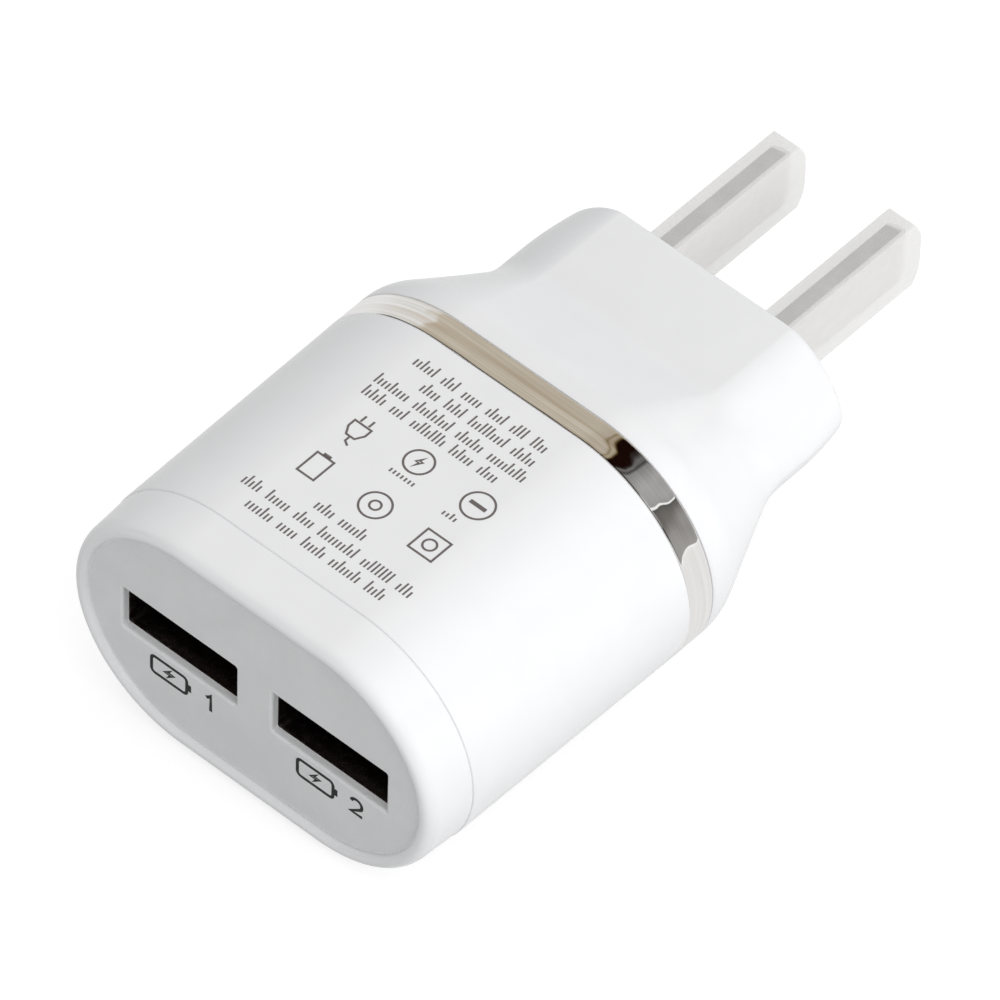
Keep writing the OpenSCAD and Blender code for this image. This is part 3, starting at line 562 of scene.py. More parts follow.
def chrome_trim():
    """Plated trim with shallow waves, and fine warm lines and patches along it, strongest on the top, that
    are a painted reflection of the room.
    """
    tree = Tree("chrome_trim", Metallic=1.0)
    along_band = (0.05, 2.6, 0.05)
    fine = tree.noise(1.3, detail=5, stretch=along_band, distortion=0.3)
    broad = tree.noise(0.7, detail=3, stretch=along_band, distortion=0.6)
    # Painted reflection: the top, and the sides less, gets warm lines and patches.
    top = tree.spread(tree.facing("Z"), 0.3, 1, 0.8, 0.98)
    painted_reflection_streaks = tree.math("MULTIPLY", tree.spread(fine, 1, 0), top)
    painted_reflection_patches = tree.math("MULTIPLY", tree.spread(broad, 0, 0.6, 0.52, 0.7), top)
    painted_reflection_tint = tree.blend(painted_reflection_streaks, (0.93, 0.925, 0.915), (0.7, 0.67, 0.62))
    tree.link(tree.blend(painted_reflection_patches, painted_reflection_tint, (0.62, 0.54, 0.44)), "Base Color")
    tree.link(tree.spread(fine, 0.01, 0.03), "Roughness")
    waves = tree.noise(0.35, detail=0, stretch=(1, 2, 1))
    tree.link(tree.bump(fine, 0.0005, under=tree.bump(waves, 0.2)), "Normal")
    return tree.material


def blade_metal():
    """Nickel plate over brass, drawn lengthwise. Its narrow faces, which face up and down, are painted
    dark: painted shade.
    """
    tree = Tree("blade_metal", Metallic=1.0)
    drawn = tree.noise(3, detail=3, stretch=(1, 0.04, 1))
    face = tree.blend(tree.spread(drawn, 0, 1), (0.9, 0.88, 0.85), (0.98, 0.96, 0.93))
    # Painted shade: the narrow faces that face up and down turn dark.
    edge = tree.spread(tree.math("ABSOLUTE", tree.facing("Z")), 0, 1, 0.6, 0.8)
    plating_with_painted_shade = tree.blend(edge, face, (0.18, 0.15, 0.125))
    bare_brass = (0.5, 0.44, 0.32)
    tree.link(tree.edge_rubbed_and_highlit(plating_with_painted_shade, bare_brass, 0.06), "Base Color")
    tree.link(tree.spread(drawn, 0.22, 0.36), "Roughness")
    tree.link(tree.bump(drawn, 0.004), "Normal")
    return tree.material


def sleeve_plastic():
    """Frosted polyethylene, which lets the blade show through. A weak glow stands for the light
    that such a thin milky wall scatters from all sides. The wide walls, over the blade's faces,
    are more opaque, and are painted lighter than the narrow ones: painted light and painted shade."""
    glow = (1, 0.995, 0.985, 1)
    tree = Tree("sleeve_plastic", IOR=1.45, Emission_Color=glow, Emission_Strength=0.36)
    cloud = tree.noise(0.5, detail=2)
    # Painted light and shade: walls that face sideways get a lighter colour, walls that face up and down a
    # darker one.
    wide = tree.spread(tree.math("ABSOLUTE", tree.facing("X")), 0, 1, 0.5, 0.9)
    narrow_wall_painted_shade = tree.blend(tree.spread(cloud, 0, 1), (0.3, 0.297, 0.29), (0.34, 0.337, 0.33))
    tree.link(tree.blend(wide, narrow_wall_painted_shade, (0.4, 0.397, 0.392)), "Base Color")
    milkier = tree.math("MULTIPLY", wide, 0.14)
    tree.link(tree.math("ADD", tree.spread(cloud, 0.46, 0.5), milkier), "Alpha")
    scuffs = tree.noise(1.2, detail=4, stretch=(1, 0.3, 1))
    tree.link(tree.spread(scuffs, 0.3, 0.5), "Roughness")
    tree.link(tree.bump(scuffs, 0.002), "Normal")
    return tree.material


def ink(name, colour):
    """Printed ink, a little thinner in places."""
    darker = tuple(0.8 * c for c in colour)
    tree = finish(name, (colour, darker), (0.45, 0.6), 0.2, 0.002, wander=2)
    tree.shader.inputs["Specular IOR Level"].default_value = 0.2
    return tree.material


def dark_plastic():
    colours = ((0.012, 0.011, 0.012), (0.022, 0.02, 0.021))
    return finish("dark_plastic", colours, (0.35, 0.5), 0.15, 0.01).material


def retainer_plastic():
    colours = ((0.09, 0.09, 0.095), (0.12, 0.12, 0.125))
    return finish("retainer_plastic", colours, (0.4, 0.55), 0.15, 0.01).material


def circuit_board():
    """Green solder mask over faint copper tracks, with a woven grain."""
    tree = Tree("circuit_board", IOR=1.5)
    cells = tree.add("TexBrick", {
        "Vector": tree.place(),
        "Scale": 0.45,
        "Color1": (0, 0, 0, 1),
        "Color2": (0.25, 0.25, 0.25, 1),
        "Mortar": (1, 1, 1, 1),
        "Mortar Size": 0.05,
    }).outputs["Color"]
    tracks = tree.spread(cells, 0, 1, 0.1, 0.9)
    tree.link(tree.blend(tracks, (0.012, 0.075, 0.03), (0.03, 0.16, 0.06)), "Base Color")
    weave = tree.noise(4, detail=2)
    tree.link(tree.spread(weave, 0.22, 0.38), "Roughness")
    tree.link(tree.bump(weave, 0.008, under=tree.bump(tracks, 0.03)), "Normal")
    return tree.material


def contact_gold():
    colours = ((0.8, 0.56, 0.2), (0.9, 0.66, 0.28))
    return finish("contact_gold", colours, (0.12, 0.25), 0.3, 0.003, Metallic=1.0).material


def tinned_metal():
    colours = ((0.6, 0.6, 0.6), (0.7, 0.7, 0.69))
    return finish("tinned_metal", colours, (0.2, 0.38), 0.4, 0.006, Metallic=1.0).material


def socket_steel_painted_shade():
    """Dull plated steel, painted dark brown: painted shade for the inside of a socket."""
    colours = ((0.12, 0.09, 0.08), (0.2, 0.165, 0.15))
    return finish("socket_steel_painted_shade", colours, (0.2, 0.3), 0.6, 0.004, Metallic=1.0).material


def ferrite():
    colours = ((0.035, 0.035, 0.037), (0.065, 0.064, 0.066))
    return finish("ferrite", colours, (0.5, 0.75), 0.2, 0.02, wander=1.5).material


def banded(name, pitch, colours, roughness, depth, **sockets):
    """Turns of wire or tape: ridges of the given pitch, stacked along Z."""
    tree = Tree(name, **sockets)
    bands = tree.add("TexWave", {
        "Vector": tree.place(),
        "Scale": math.pi / (10 * pitch),
        "Distortion": 0.4,
        "Detail": 1,
    }, wave_type="BANDS", bands_direction="Z", wave_profile="SIN").outputs["Fac"]
    tree.link(tree.blend(bands, *colours), "Base Color")
    tree.link(tree.spread(tree.noise(1.5), *roughness), "Roughness")
    tree.link(tree.bump(bands, depth), "Normal")
    return tree.material


def copper_wire():
    colours = ((0.28, 0.09, 0.03), (0.75, 0.32, 0.13))
    return banded("copper_wire", 0.3, colours, (0.2, 0.35), 0.08, Metallic=0.85)


def tape():
    colours = ((0.72, 0.5, 0.06), (0.85, 0.62, 0.1))
    return banded("tape", 2.4, colours, (0.25, 0.4), 0.03)


def sheet():
    colours = ((0.6, 0.5, 0.3), (0.68, 0.58, 0.37))
    return finish("sheet", colours, (0.35, 0.5), 0.3, 0.004, wander=0.6).material


def can_metal():
    colours = ((0.68, 0.69, 0.7), (0.78, 0.78, 0.79))
    return finish("can_metal", colours, (0.22, 0.36), 0.25, 0.006, Metallic=1.0).material


def shrunk_skin(name, body_colour, stripe_colour, stripe_axis):
    """A shrunk plastic skin with one lighter stripe along the side that faces stripe_axis."""
    tree = Tree(name)
    stripe = tree.spread(tree.facing(stripe_axis), 0, 1, 0.86, 0.88)
    tree.link(tree.blend(stripe, body_colour, stripe_colour), "Base Color")
    fine = tree.noise(2.5, detail=2)
    tree.link(tree.spread(fine, 0.2, 0.34), "Roughness")
    tree.link(tree.bump(fine, 0.006), "Normal")
    return tree.material


def bulk_skin():
    return shrunk_skin("bulk_skin", (0.03, 0.03, 0.11), (0.45, 0.47, 0.55), "Z")


def output_skin():
    return shrunk_skin("output_skin", (0.02, 0.13, 0.07), (0.5, 0.52, 0.3), "X")


def blue_dip():
    colours = ((0.03, 0.12, 0.42), (0.05, 0.17, 0.52))
    return finish("blue_dip", colours, (0.18, 0.3), 0.6, 0.03, wander=0.8).material


def brown_dip():
    colours = ((0.36, 0.13, 0.03), (0.46, 0.19, 0.05))
    return finish("brown_dip", colours, (0.2, 0.34), 0.6, 0.03, wander=0.8).material


def ceramic():
    colours = ((0.42, 0.32, 0.2), (0.52, 0.41, 0.28))
    return finish("ceramic", colours, (0.4, 0.6), 0.2, 0.01, wander=2).material


def resistor_coat():
    colours = ((0.08, 0.3, 0.2), (0.12, 0.38, 0.26))
    return finish("resistor_coat", colours, (0.3, 0.45), 0.35, 0.03, wander=1).material


def line_insulation():
    colours = ((0.4, 0.03, 0.02), (0.5, 0.045, 0.03))
    return finish("line_insulation", colours, (0.3, 0.42), 0.3, 0.006).material


def neutral_insulation():
    colours = ((0.015, 0.03, 0.16), (0.025, 0.05, 0.24))
    return finish("neutral_insulation", colours, (0.3, 0.42), 0.3, 0.006).material


def shrink_tube():
    colours = ((0.015, 0.015, 0.016), (0.03, 0.03, 0.031))
    return finish("shrink_tube", colours, (0.4, 0.55), 0.25, 0.02).material


SLOT_LOOKS = [
    white_plastic, faceplate_plastic, chrome_trim, blade_metal, sleeve_plastic, dark_plastic,
    retainer_plastic, circuit_board, contact_gold, tinned_metal, ferrite, copper_wire, tape, sheet,
    can_metal, bulk_skin, output_skin, blue_dip, brown_dip, ceramic, resistor_coat,
    line_insulation, neutral_insulation, shrink_tube,
]
LOOKS = {make.__name__: make() for make in SLOT_LOOKS}
# Dark steel for the sockets: painted shade.
SOCKET_STEEL_PAINTED_SHADE = socket_steel_painted_shade()
RATING_INK = ink("rating_ink", (0.17, 0.15, 0.145))
LABEL_INK = ink("label_ink", (0.008, 0.008, 0.009))


def dress_cad_nodes():
    """Gives every CAD node the material of its slot in the record."""
    for part in frame["record"]["subparts"]:
        mesh = frame["nodes"][part["node"]].data
        mesh.materials.clear()
        mesh.materials.append(LOOKS[part["material_slot"]])


# ---- Casing ----


def quarter(start_d, start_inset, end_d, end_inset, steps, convex):
    """Profile points of a quarter round from one point to the next, without the first point."""
    points = []
    for k in range(1, steps + 1):
        t = math.pi / 2 * k / steps
        along, across = (math.sin(t), 1 - math.cos(t)) if convex else (1 - math.cos(t), math.sin(t))
        points.append((mix(start_d, end_d, along), mix(start_inset, end_inset, across)))
    return points


def straight(start_d, start_inset, end_d, end_inset, steps):
    """Profile points along a straight line, without the first point."""
    shares = [k / steps for k in range(1, steps + 1)]
    return [(mix(start_d, end_d, t), mix(start_inset, end_inset, t)) for t in shares]


def front_collar():
    """The rounded rim round the faceplate, and the spigot that goes into the main shell."""
    rim_start_d = BODY_D - RIM_OUTER_LEN
    profile = [(SEAM_D, EDGE_BREAK)]
    profile += quarter(SEAM_D, EDGE_BREAK, SEAM_D + EDGE_BREAK, EDGE_BREAK / 2, 4, False)
    profile += straight(SEAM_D + EDGE_BREAK, EDGE_BREAK / 2, rim_start_d, RIM_START_INSET, 6)
    profile += quarter(rim_start_d, RIM_START_INSET, BODY_D, RIM_CREST_INSET, 14, True)
    profile += quarter(BODY_D, RIM_CREST_INSET, PLATE_D + PLATE_EDGE_R, RIM_INNER_INSET, 8, False)
    profile += [
        (PLATE_BACK_D, RIM_INNER_INSET),
        (PLATE_BACK_D, SPIGOT_IN_INSET),
        (COLLAR_SPIGOT_D, SPIGOT_IN_INSET),
        (COLLAR_SPIGOT_D, SPIGOT_INSET + EDGE_BREAK),
        (SEAM_D, SPIGOT_INSET + EDGE_BREAK),
    ]
    shape = loft([section(d, inset) for d, inset in profile], capped=False)
    add_piece("collar_moulding", shape, "white_plastic", stands_for="front_collar")


def plate_border(inset):
    return stadium(FLAT_HALF, PLATE_R - inset)


def plate_opening(side, inset):
    """The outline of one USB opening, widened by inset."""
    outline = rounded_rect(PORT_W + 2 * inset, PORT_H + 2 * inset, PORT_CORNER_R + inset)
    return shifted(outline, side * PORT_X, PORT_Z)


def plate_edge(outline, radius):
    """The plate's wall along one outline, with a rounded front edge and a flat ring beside that."""
    steps = 5
    rings = [across_y(outline(radius + FLAT_RIM), -PLATE_D)]
    for k in range(steps + 1):
        t = math.pi / 2 * k / steps
        y = -PLATE_D + radius * (1 - math.cos(t))
        rings.append(across_y(outline(radius * (1 - math.sin(t))), y))
    rings.append(across_y(outline(0), -PLATE_BACK_D))
    verts, faces = loft(rings, capped=True)
    return verts, faces[:-2]


def faceplate():
    """The plate with its two openings."""
    outlines = [
        (plate_border, PLATE_EDGE_R),
        (partial(plate_opening, -1), OPENING_EDGE_R),
        (partial(plate_opening, 1), OPENING_EDGE_R),
    ]
    parts = [plate_edge(outline, radius) for outline, radius in outlines]
    front = [across_y(outline(radius + FLAT_RIM), -PLATE_D) for outline, radius in outlines]
    back = [across_y(outline(0), -PLATE_BACK_D) for outline, radius in outlines]
    for loops in (front, back):
        triangles = tessellate_polygon([[Vector(p) for p in loop] for loop in loops])
        parts.append((np.concatenate(loops), triangles))
    add_piece("faceplate_moulding", joined(parts), "faceplate_plastic", stands_for="faceplate")


def main_shell():
    """The middle casing, and the two rails inside it that carry the main board."""
    profile = [(BAND_FRONT_D, WALL), (BAND_FRONT_D, EDGE_BREAK)]
    profile += quarter(BAND_FRONT_D, EDGE_BREAK, BAND_FRONT_D + EDGE_BREAK, 0, 4, False)
    profile += straight(BAND_FRONT_D + EDGE_BREAK, 0, SEAM_D - EDGE_BREAK, 0, 12)
    profile += quarter(SEAM_D - EDGE_BREAK, 0, SEAM_D, EDGE_BREAK, 4, True)
    profile += [(SEAM_D, WALL)]
    parts = [loft([section(d, inset) for d, inset in profile], capped=False)]
    rail_top = cad_box("main_board")[0][2] - RAIL_GAP
    rail_reach = FLAT_HALF + math.sqrt((HALF_H - WALL / 2) ** 2 - (rail_top - RAIL_T / 2) ** 2)
    for side in (-1, 1):
        inner, outer = sorted((side * RAIL_X, side * rail_reach))
        low = (inner, -RAIL_FRONT_D, rail_top - RAIL_T)
        parts.append(block(low, (outer, -RAIL_REAR_D, rail_top)))
    add_piece("body_moulding", joined(parts), "white_plastic", stands_for="main_shell")


def chrome_band():
    """The trim, with rounded edges."""
    profile = [(BAND_REAR_D, BAND_T), (BAND_REAR_D, BAND_EDGE_R)]
    profile += quarter(BAND_REAR_D, BAND_EDGE_R, BAND_REAR_D + BAND_EDGE_R, 0, 6, False)
    profile += straight(BAND_REAR_D + BAND_EDGE_R, 0, BAND_FRONT_D - BAND_EDGE_R, 0, 8)
    profile += quarter(BAND_FRONT_D - BAND_EDGE_R, 0, BAND_FRONT_D, BAND_EDGE_R, 6, True)
    profile += [(BAND_FRONT_D, BAND_T)]
    shape = loft([section(d, inset) for d, inset in profile], capped=False)
    add_piece("trim_band", shape, "chrome_trim", stands_for="chrome_band")


def blade_seat(side):
    """The slot for one blade and the shallow recess round its sleeve, as two cutting shapes."""
    x = side * BLADE_X
    margin = 2 * RECESS_MARGIN
    recess = rounded_rect(SLEEVE_T + margin, SLEEVE_W + margin, RECESS_CORNER_R)
    slot = rounded_rect(BLADE_T + 2 * BLADE_GAP, BLADE_W + 2 * BLADE_GAP, SLOT_CORNER_R)
    return [
        loft([across_y(recess, y, x) for y in (-RECESS_DEPTH, CUT_PAST)], capped=True),
        loft([across_y(slot, y, x) for y in (-END_WALL - CUT_PAST, CUT_PAST)], capped=True),
    ]


def staking_post(z):
    """One of the posts behind the wall face, whose melted end holds the blade retainer."""
    profile = [
        (END_WALL - POST_ROOT, POST_R),
        (POST_END_D - POST_CHAMFER, POST_R),
        (POST_END_D, POST_R - POST_CHAMFER),
    ]
    return loft([across_y(circle((0, 0), r), -d, 0, z) for d, r in profile], capped=True)


def rear_housing():
    """The flare and the neck with its wall face, seats for both blades, and the band's seat."""
    inner_steps, outer_steps, edge_steps = 16, 60, 12
    inner = [bore(mix(END_WALL, BAND_REAR_D, k / inner_steps)) for k in range(inner_steps + 1)]
    spigot = [
        bore(REAR_SPIGOT_D),
        section(REAR_SPIGOT_D, SPIGOT_INSET),
        section(BAND_FRONT_D, SPIGOT_INSET),
        section(BAND_FRONT_D, BAND_SEAT_INSET),
        section(BAND_REAR_D, BAND_SEAT_INSET),
    ]
    broken = ((0, EDGE_BREAK), (EDGE_BREAK / 3, EDGE_BREAK / 3), (EDGE_BREAK, 0))
    edge = [section(BAND_REAR_D - d, inset) for d, inset in broken]
    start_d = BAND_REAR_D - EDGE_BREAK
    outer = [section(mix(start_d, FACE_EDGE_R, k / outer_steps)) for k in range(1, outer_steps + 1)]
    face_edge = []
    for k in range(1, edge_steps + 1):
        t = math.pi / 2 * k / edge_steps
        face_edge.append(section(FACE_EDGE_R * (1 - math.sin(t)), FACE_EDGE_R * (1 - math.cos(t))))
    face_edge.append(section(0, FACE_EDGE_R + 2 * FLAT_RIM))
    shape = loft(inner + spigot + edge + outer + face_edge, capped=True)
    obj = add_piece("rear_moulding", shape, "white_plastic", stands_for="rear_housing")
    for side in (-1, 1):
        for shape in blade_seat(side):
            cut(obj, shape)
    posts = joined([staking_post(z) for z in (-POST_Z, POST_Z)])
    add_piece("staking_posts", posts, "white_plastic")


# ---- Blades and sleeves ----


def sleeve_tip(foot_y, x):
    """Rings of the sleeve's tip: a shallow arc over its width, which also gets a little thinner."""
    steps = 14
    tip_r = ((SLEEVE_W / 2) ** 2 + SLEEVE_TIP_BULGE ** 2) / (2 * SLEEVE_TIP_BULGE)
    rings = []
    for k in range(1, steps + 1):
        out = SLEEVE_TIP_BULGE * math.sin(math.pi / 2 * k / steps)
        reach = math.sqrt(tip_r ** 2 - (tip_r - SLEEVE_TIP_BULGE + out) ** 2)
        thickness = SLEEVE_T - 2 * TIP_THINNING * (out / SLEEVE_TIP_BULGE) ** 4
        outline = rounded_rect(thickness, 2 * max(reach, TIP_HALF_W), SLEEVE_CORNER_R, 4)
        rings.append(across_y(outline, foot_y + out, x))
    return rings


def sleeve(side, name, node, body):
    """A thin-walled cap over a blade, open at the wall face and closed at its tip."""
    steps = 8
    x = side * BLADE_X
    foot_y = SLEEVE_LEN - SLEEVE_TIP_BULGE
    cavity_t, cavity_w = BLADE_T + 2 * BLADE_GAP, BLADE_W + 2 * BLADE_GAP
    cavity = rounded_rect(cavity_t, cavity_w, CAVITY_CORNER_R, 4)
    cavity_end = rounded_rect(cavity_t - CAVITY_TAPER_T, cavity_w - CAVITY_TAPER_W, CAVITY_CORNER_R, 4)
    mouth_t, mouth_w = SLEEVE_T - 2 * MOUTH_INSET, SLEEVE_W - 2 * MOUTH_INSET
    mouth = rounded_rect(mouth_t, mouth_w, SLEEVE_CORNER_R - MOUTH_INSET, 4)
    wall = rounded_rect(SLEEVE_T, SLEEVE_W, SLEEVE_CORNER_R, 4)
    rings = [
        across_y(cavity_end, BLADE_LEN + 2 * BLADE_GAP, x),
        across_y(cavity, BLADE_LEN - CAVITY_TAPER_START, x),
        across_y(cavity, SLEEVE_MOUTH_Y, x),
        across_y(mouth, SLEEVE_MOUTH_Y, x),
    ]
    for k in range(steps + 1):
        rings.append(across_y(wall, mix(SLEEVE_MOUTH_Y + MOUTH_LIP, foot_y, k / steps), x))
    shape = loft(rings + sleeve_tip(foot_y, x), capped=True)
    add_piece(name, shape, "sleeve_plastic", body=body, stands_for=node, sharp=40)


def blade(side, name, node):
    """A drawn blade with broken long edges and a bevelled tip, its shoulders and its solder tab."""
    x = side * BLADE_X
    soft = 0.1
    shoulder_front_d = END_WALL + BLADE_GAP
    bevel_y = BLADE_LEN - 2 * BLADE_BEVEL
    tip_t, tip_w = BLADE_T - 2 * BLADE_BEVEL, BLADE_W - 4 * BLADE_BEVEL
    profile = [
        (-TAB_D, BLADE_T - 2 * soft, TAB_W - 2 * soft),
        (-TAB_D + soft, BLADE_T, TAB_W),
        (-SHOULDER_D - soft / 2, BLADE_T, TAB_W),
        (-SHOULDER_D, BLADE_T, SHOULDER_W),
        (-shoulder_front_d - soft / 2, BLADE_T, SHOULDER_W),
        (-shoulder_front_d, BLADE_T, BLADE_W),
        (bevel_y - soft, BLADE_T, BLADE_W),
        (bevel_y + soft, BLADE_T - soft, BLADE_W - 2 * soft),
        (BLADE_LEN - 0.8 * soft, tip_t + soft, tip_w + soft),
        (BLADE_LEN, tip_t, tip_w),
    ]
    rings = [across_y(rounded_rect(t, w, BLADE_EDGE, 3), y, x) for y, t, w in profile]
    obj = add_piece(name, loft(rings, capped=True), "blade_metal", stands_for=node)
    hole = circle((TAB_W / 2 - TAB_D, 0), TAB_HOLE_R, 24)
    rod = [np.array([(x + end * BLADE_T, y, z) for y, z in hole]) for end in (-1, 1)]
    cut(obj, loft(rod, capped=True))


# ---- USB sockets ----


def leaf_spring(x, wall_z, inward):
    """A strip that bows from the shell's wall into the socket."""
    steps = 12
    strip = rounded_rect(LEAF_W, LEAF_T, r=0.05, steps=2)
    rings = []
    for k in range(steps + 1):
        t = k / steps
        rise = LEAF_RISE * math.sin(math.pi * (1 - t) ** 1.3)
        y = mix(LEAF_FREE_GAP - LEAF_FRONT_D, LEAF_ROOT_GAP - LEAF_REAR_D, t)
        rings.append(across_y(strip, y, x, wall_z + inward * rise))
    return loft(rings, capped=True)


def socket_shell(side, number):
    """The folded steel shell with a rolled mouth, and its four leaf springs."""
    node = f"usb_shell_{number}"
    low, high = cad_box(node)
    x = side * PORT_X
    w, h = high[0] - low[0], high[2] - low[2]
    front_y, rear_y = low[1], high[1]

    def outline(inset, y):
        corner = SOCKET_CORNER_R - inset / 2
        return across_y(rounded_rect(w - 2 * inset, h - 2 * inset, corner, 5), y, x, PORT_Z)

    # The mouth's roll, as insets and distances behind the front
    mouth = [(0, 0.15), (0.05, 0.04), (0.15, 0), (0.25, 0.04), (SOCKET_T, 0.25)]
    rings = [outline(0, rear_y)]
    rings += [outline(inset, front_y + behind) for inset, behind in mouth]
    rings.append(outline(SOCKET_T, rear_y))
    shape = loft(rings, capped=False)
    # The shell's dark steel look is painted shade for the socket's inside.
    obj = add_piece(f"socket_shell_{number}", shape, "tinned_metal", look=SOCKET_STEEL_PAINTED_SHADE, stands_for=node)
    leaves = []
    for middle in (x - LEAF_X, x + LEAF_X):
        for face in (-1, 1):
            wall_z = PORT_Z + face * (h / 2 - SOCKET_T / 2)
            window_low = (middle - LEAF_WINDOW_W / 2, -LEAF_FRONT_D, wall_z - SOCKET_T)
            window_high = (middle + LEAF_WINDOW_W / 2, -LEAF_REAR_D, wall_z + SOCKET_T)
            cut(obj, block(window_low, window_high))
            leaves.append(leaf_spring(middle, wall_z, -face))
    # The leaves share that painted shade.
    add_piece(f"socket_leaves_{number}", joined(leaves), "tinned_metal", look=SOCKET_STEEL_PAINTED_SHADE)


def socket_insulator(side, number):
    """The black moulding: a block that fills the shell's rear, and a tongue with a chamfered tip."""
    node = f"usb_insulator_{number}"
    low, high = cad_box(node)
    x = side * PORT_X
    tip_y = low[1]
    block_front_y = high[1] - SOCKET_BLOCK_LEN
    w, h = 2 * TONGUE_HALF_W, TONGUE_HIGH_Z - TONGUE_LOW_Z
    middle_z = (TONGUE_LOW_Z + TONGUE_HIGH_Z) / 2
    # Places along the tongue, with its inset at each
    stations = [(tip_y, 0.35), (tip_y + 0.15, 0.22), (tip_y + 0.6, 0), (block_front_y + 0.1, 0)]
    rings = []
    for y, inset in stations:
        outline = rounded_rect(w - 2 * inset, h - 2 * inset, r=0.15, steps=3)
        rings.append(across_y(outline, y, x, middle_z))
    base = block((low[0], block_front_y, low[2]), high, edge=0.12)
    parts = [base, loft(rings, capped=True)]
    add_piece(f"socket_tongue_{number}", joined(parts), "dark_plastic", stands_for=node)


# ---- Print ----


def on_top(x, y, lift):
    """A point of the print on the body's upper face."""
    reach = max(0.0, abs(x) - FLAT_HALF) / (shell_half_w(-y) - FLAT_HALF)
    return x, y, HALF_H * math.sqrt(1 - reach * reach) + lift


def on_plate(x, z, lift):
    """A point of the print on the faceplate."""
    return x, -PLATE_D - lift, z


def runs_at(points, k, closed):
    """The unit runs of a line into and out of its point k."""
    runs = []
    if k > 0 or closed:
        runs.append(points[k] - points[k - 1])
    if k + 1 < len(points) or closed:
        runs.append(points[(k + 1) % len(points)] - points[k])
    return [run / np.linalg.norm(run) for run in runs]


def stroke(points, width, surface, closed=False):
    """A printed line of ink through points, as a thin closed strip laid on a surface."""
    points = [np.array(p, float) for p in points]
    rings = []
    for k, p in enumerate(points):
        runs = runs_at(points, k, closed)
        run = sum(runs) / np.linalg.norm(sum(runs))
        mitre = 1 / max(0.5, float(run @ runs[0]))
        side = np.array([-run[1], run[0]]) * width / 2 * mitre
        a, b = p + side, p - side
        corners = [(*a, INK_T), (*b, INK_T), (*b, -INK_SINK), (*a, -INK_SINK)]
        rings.append([surface(*corner) for corner in corners])
    return loft(rings, capped=not closed)


def tick_row(x0, x1, y, height, draw):
    """A line of short upright ticks in groups, which stands in for a line of print."""
    group = (4, 10)
    gap = 1.6 * TICK_PITCH
    short = 0.62
    low = y - height / 2
    parts = []
    x = x0
    left = draw.randint(*group)
    while x < x1:
        if left == 0 and x + group[0] * TICK_PITCH > x1:
            break
        if left:
            top = low + height * draw.choice((short, short, 1.0))
            parts.append(stroke([(x, low), (x, (low + top) / 2), (x, top)], TICK_LINE, on_top))
            left -= 1
            x += TICK_PITCH
        else:
            left = draw.randint(*group)
            x += gap
    return parts


def drawn_at(place, points, width=ICON_LINE, closed=False):
    """One line of a pictogram on the body's upper face, drawn round its place."""
    return stroke(shifted(points, *place), width, on_top, closed)


def plug_icon(place):
    """A plain plug: body, two pins and a lead."""
    outline = [(-0.9, 0.6), (-0.9, -0.2), (-0.45, -1.0), (0.45, -1.0), (0.9, -0.2), (0.9, 0.6)]
    pins = [drawn_at(place, [(side, 0.75), (side, 1.5)]) for side in (-0.45, 0.45)]
    lead = drawn_at(place, [(0, -1.1), (0, -1.6), (0.5, -1.9)])
    return [drawn_at(place, outline, closed=True)] + pins + [lead]


def ring_icon(place, radius):
    return [stroke(circle(place, radius), ICON_LINE, on_top, closed=True)]


def bolt_icon(place, size):
    bolt = [(0.25, 1), (-0.4, -0.1), (0.05, -0.1), (-0.25, -1), (0.4, 0.2), (-0.05, 0.2)]
    return [drawn_at(place, [(size * a, size * b) for a, b in bolt], width=0.14, closed=True)]


def bar_icon(place):
    return [drawn_at(place, [(-0.85, 0), (0.85, 0)], width=0.4)]


def battery_icon(place):
    """A battery on end, with its terminal."""
    case = [(-0.9, 1.2), (-0.9, -1.3), (0.9, -1.3), (0.9, 1.2)]
    terminal = [(-0.4, 1.4), (0.4, 1.4)]
    return [drawn_at(place, case, closed=True), drawn_at(place, terminal, width=0.3)]


def square_icon(place, half):
    corners = [(-half, half), (-half, -half), (half, -half), (half, half)]
    return [drawn_at(place, corners, closed=True)]


def rating_print():
    """Rows of ticks and simple pictograms, with no lettering."""
    draw = random.Random(7)
    parts = []
    for x0, x1, y in RATING_ROWS:
        parts += tick_row(x0, x1, y, ROW_HEIGHT, draw)
    for x0, x1, y in SMALL_RATING_ROWS:
        parts += tick_row(x0, x1, y, SMALL_ROW_HEIGHT, draw)
    parts += plug_icon(PLUG_AT)
    parts += ring_icon(BOLT_AT, radius=1.3) + bolt_icon(BOLT_AT, size=0.75)
    parts += ring_icon(BAR_AT, radius=1.45) + bar_icon(BAR_AT)
    parts += battery_icon(BATTERY_AT)
    parts += ring_icon(RINGS_AT, radius=1.4) + ring_icon(RINGS_AT, radius=0.5)
    parts += square_icon(SQUARE_AT, half=1.25) + ring_icon(SQUARE_AT, radius=0.6)
    add_piece("rating_print", joined(parts), look=RATING_INK, sharp=60)


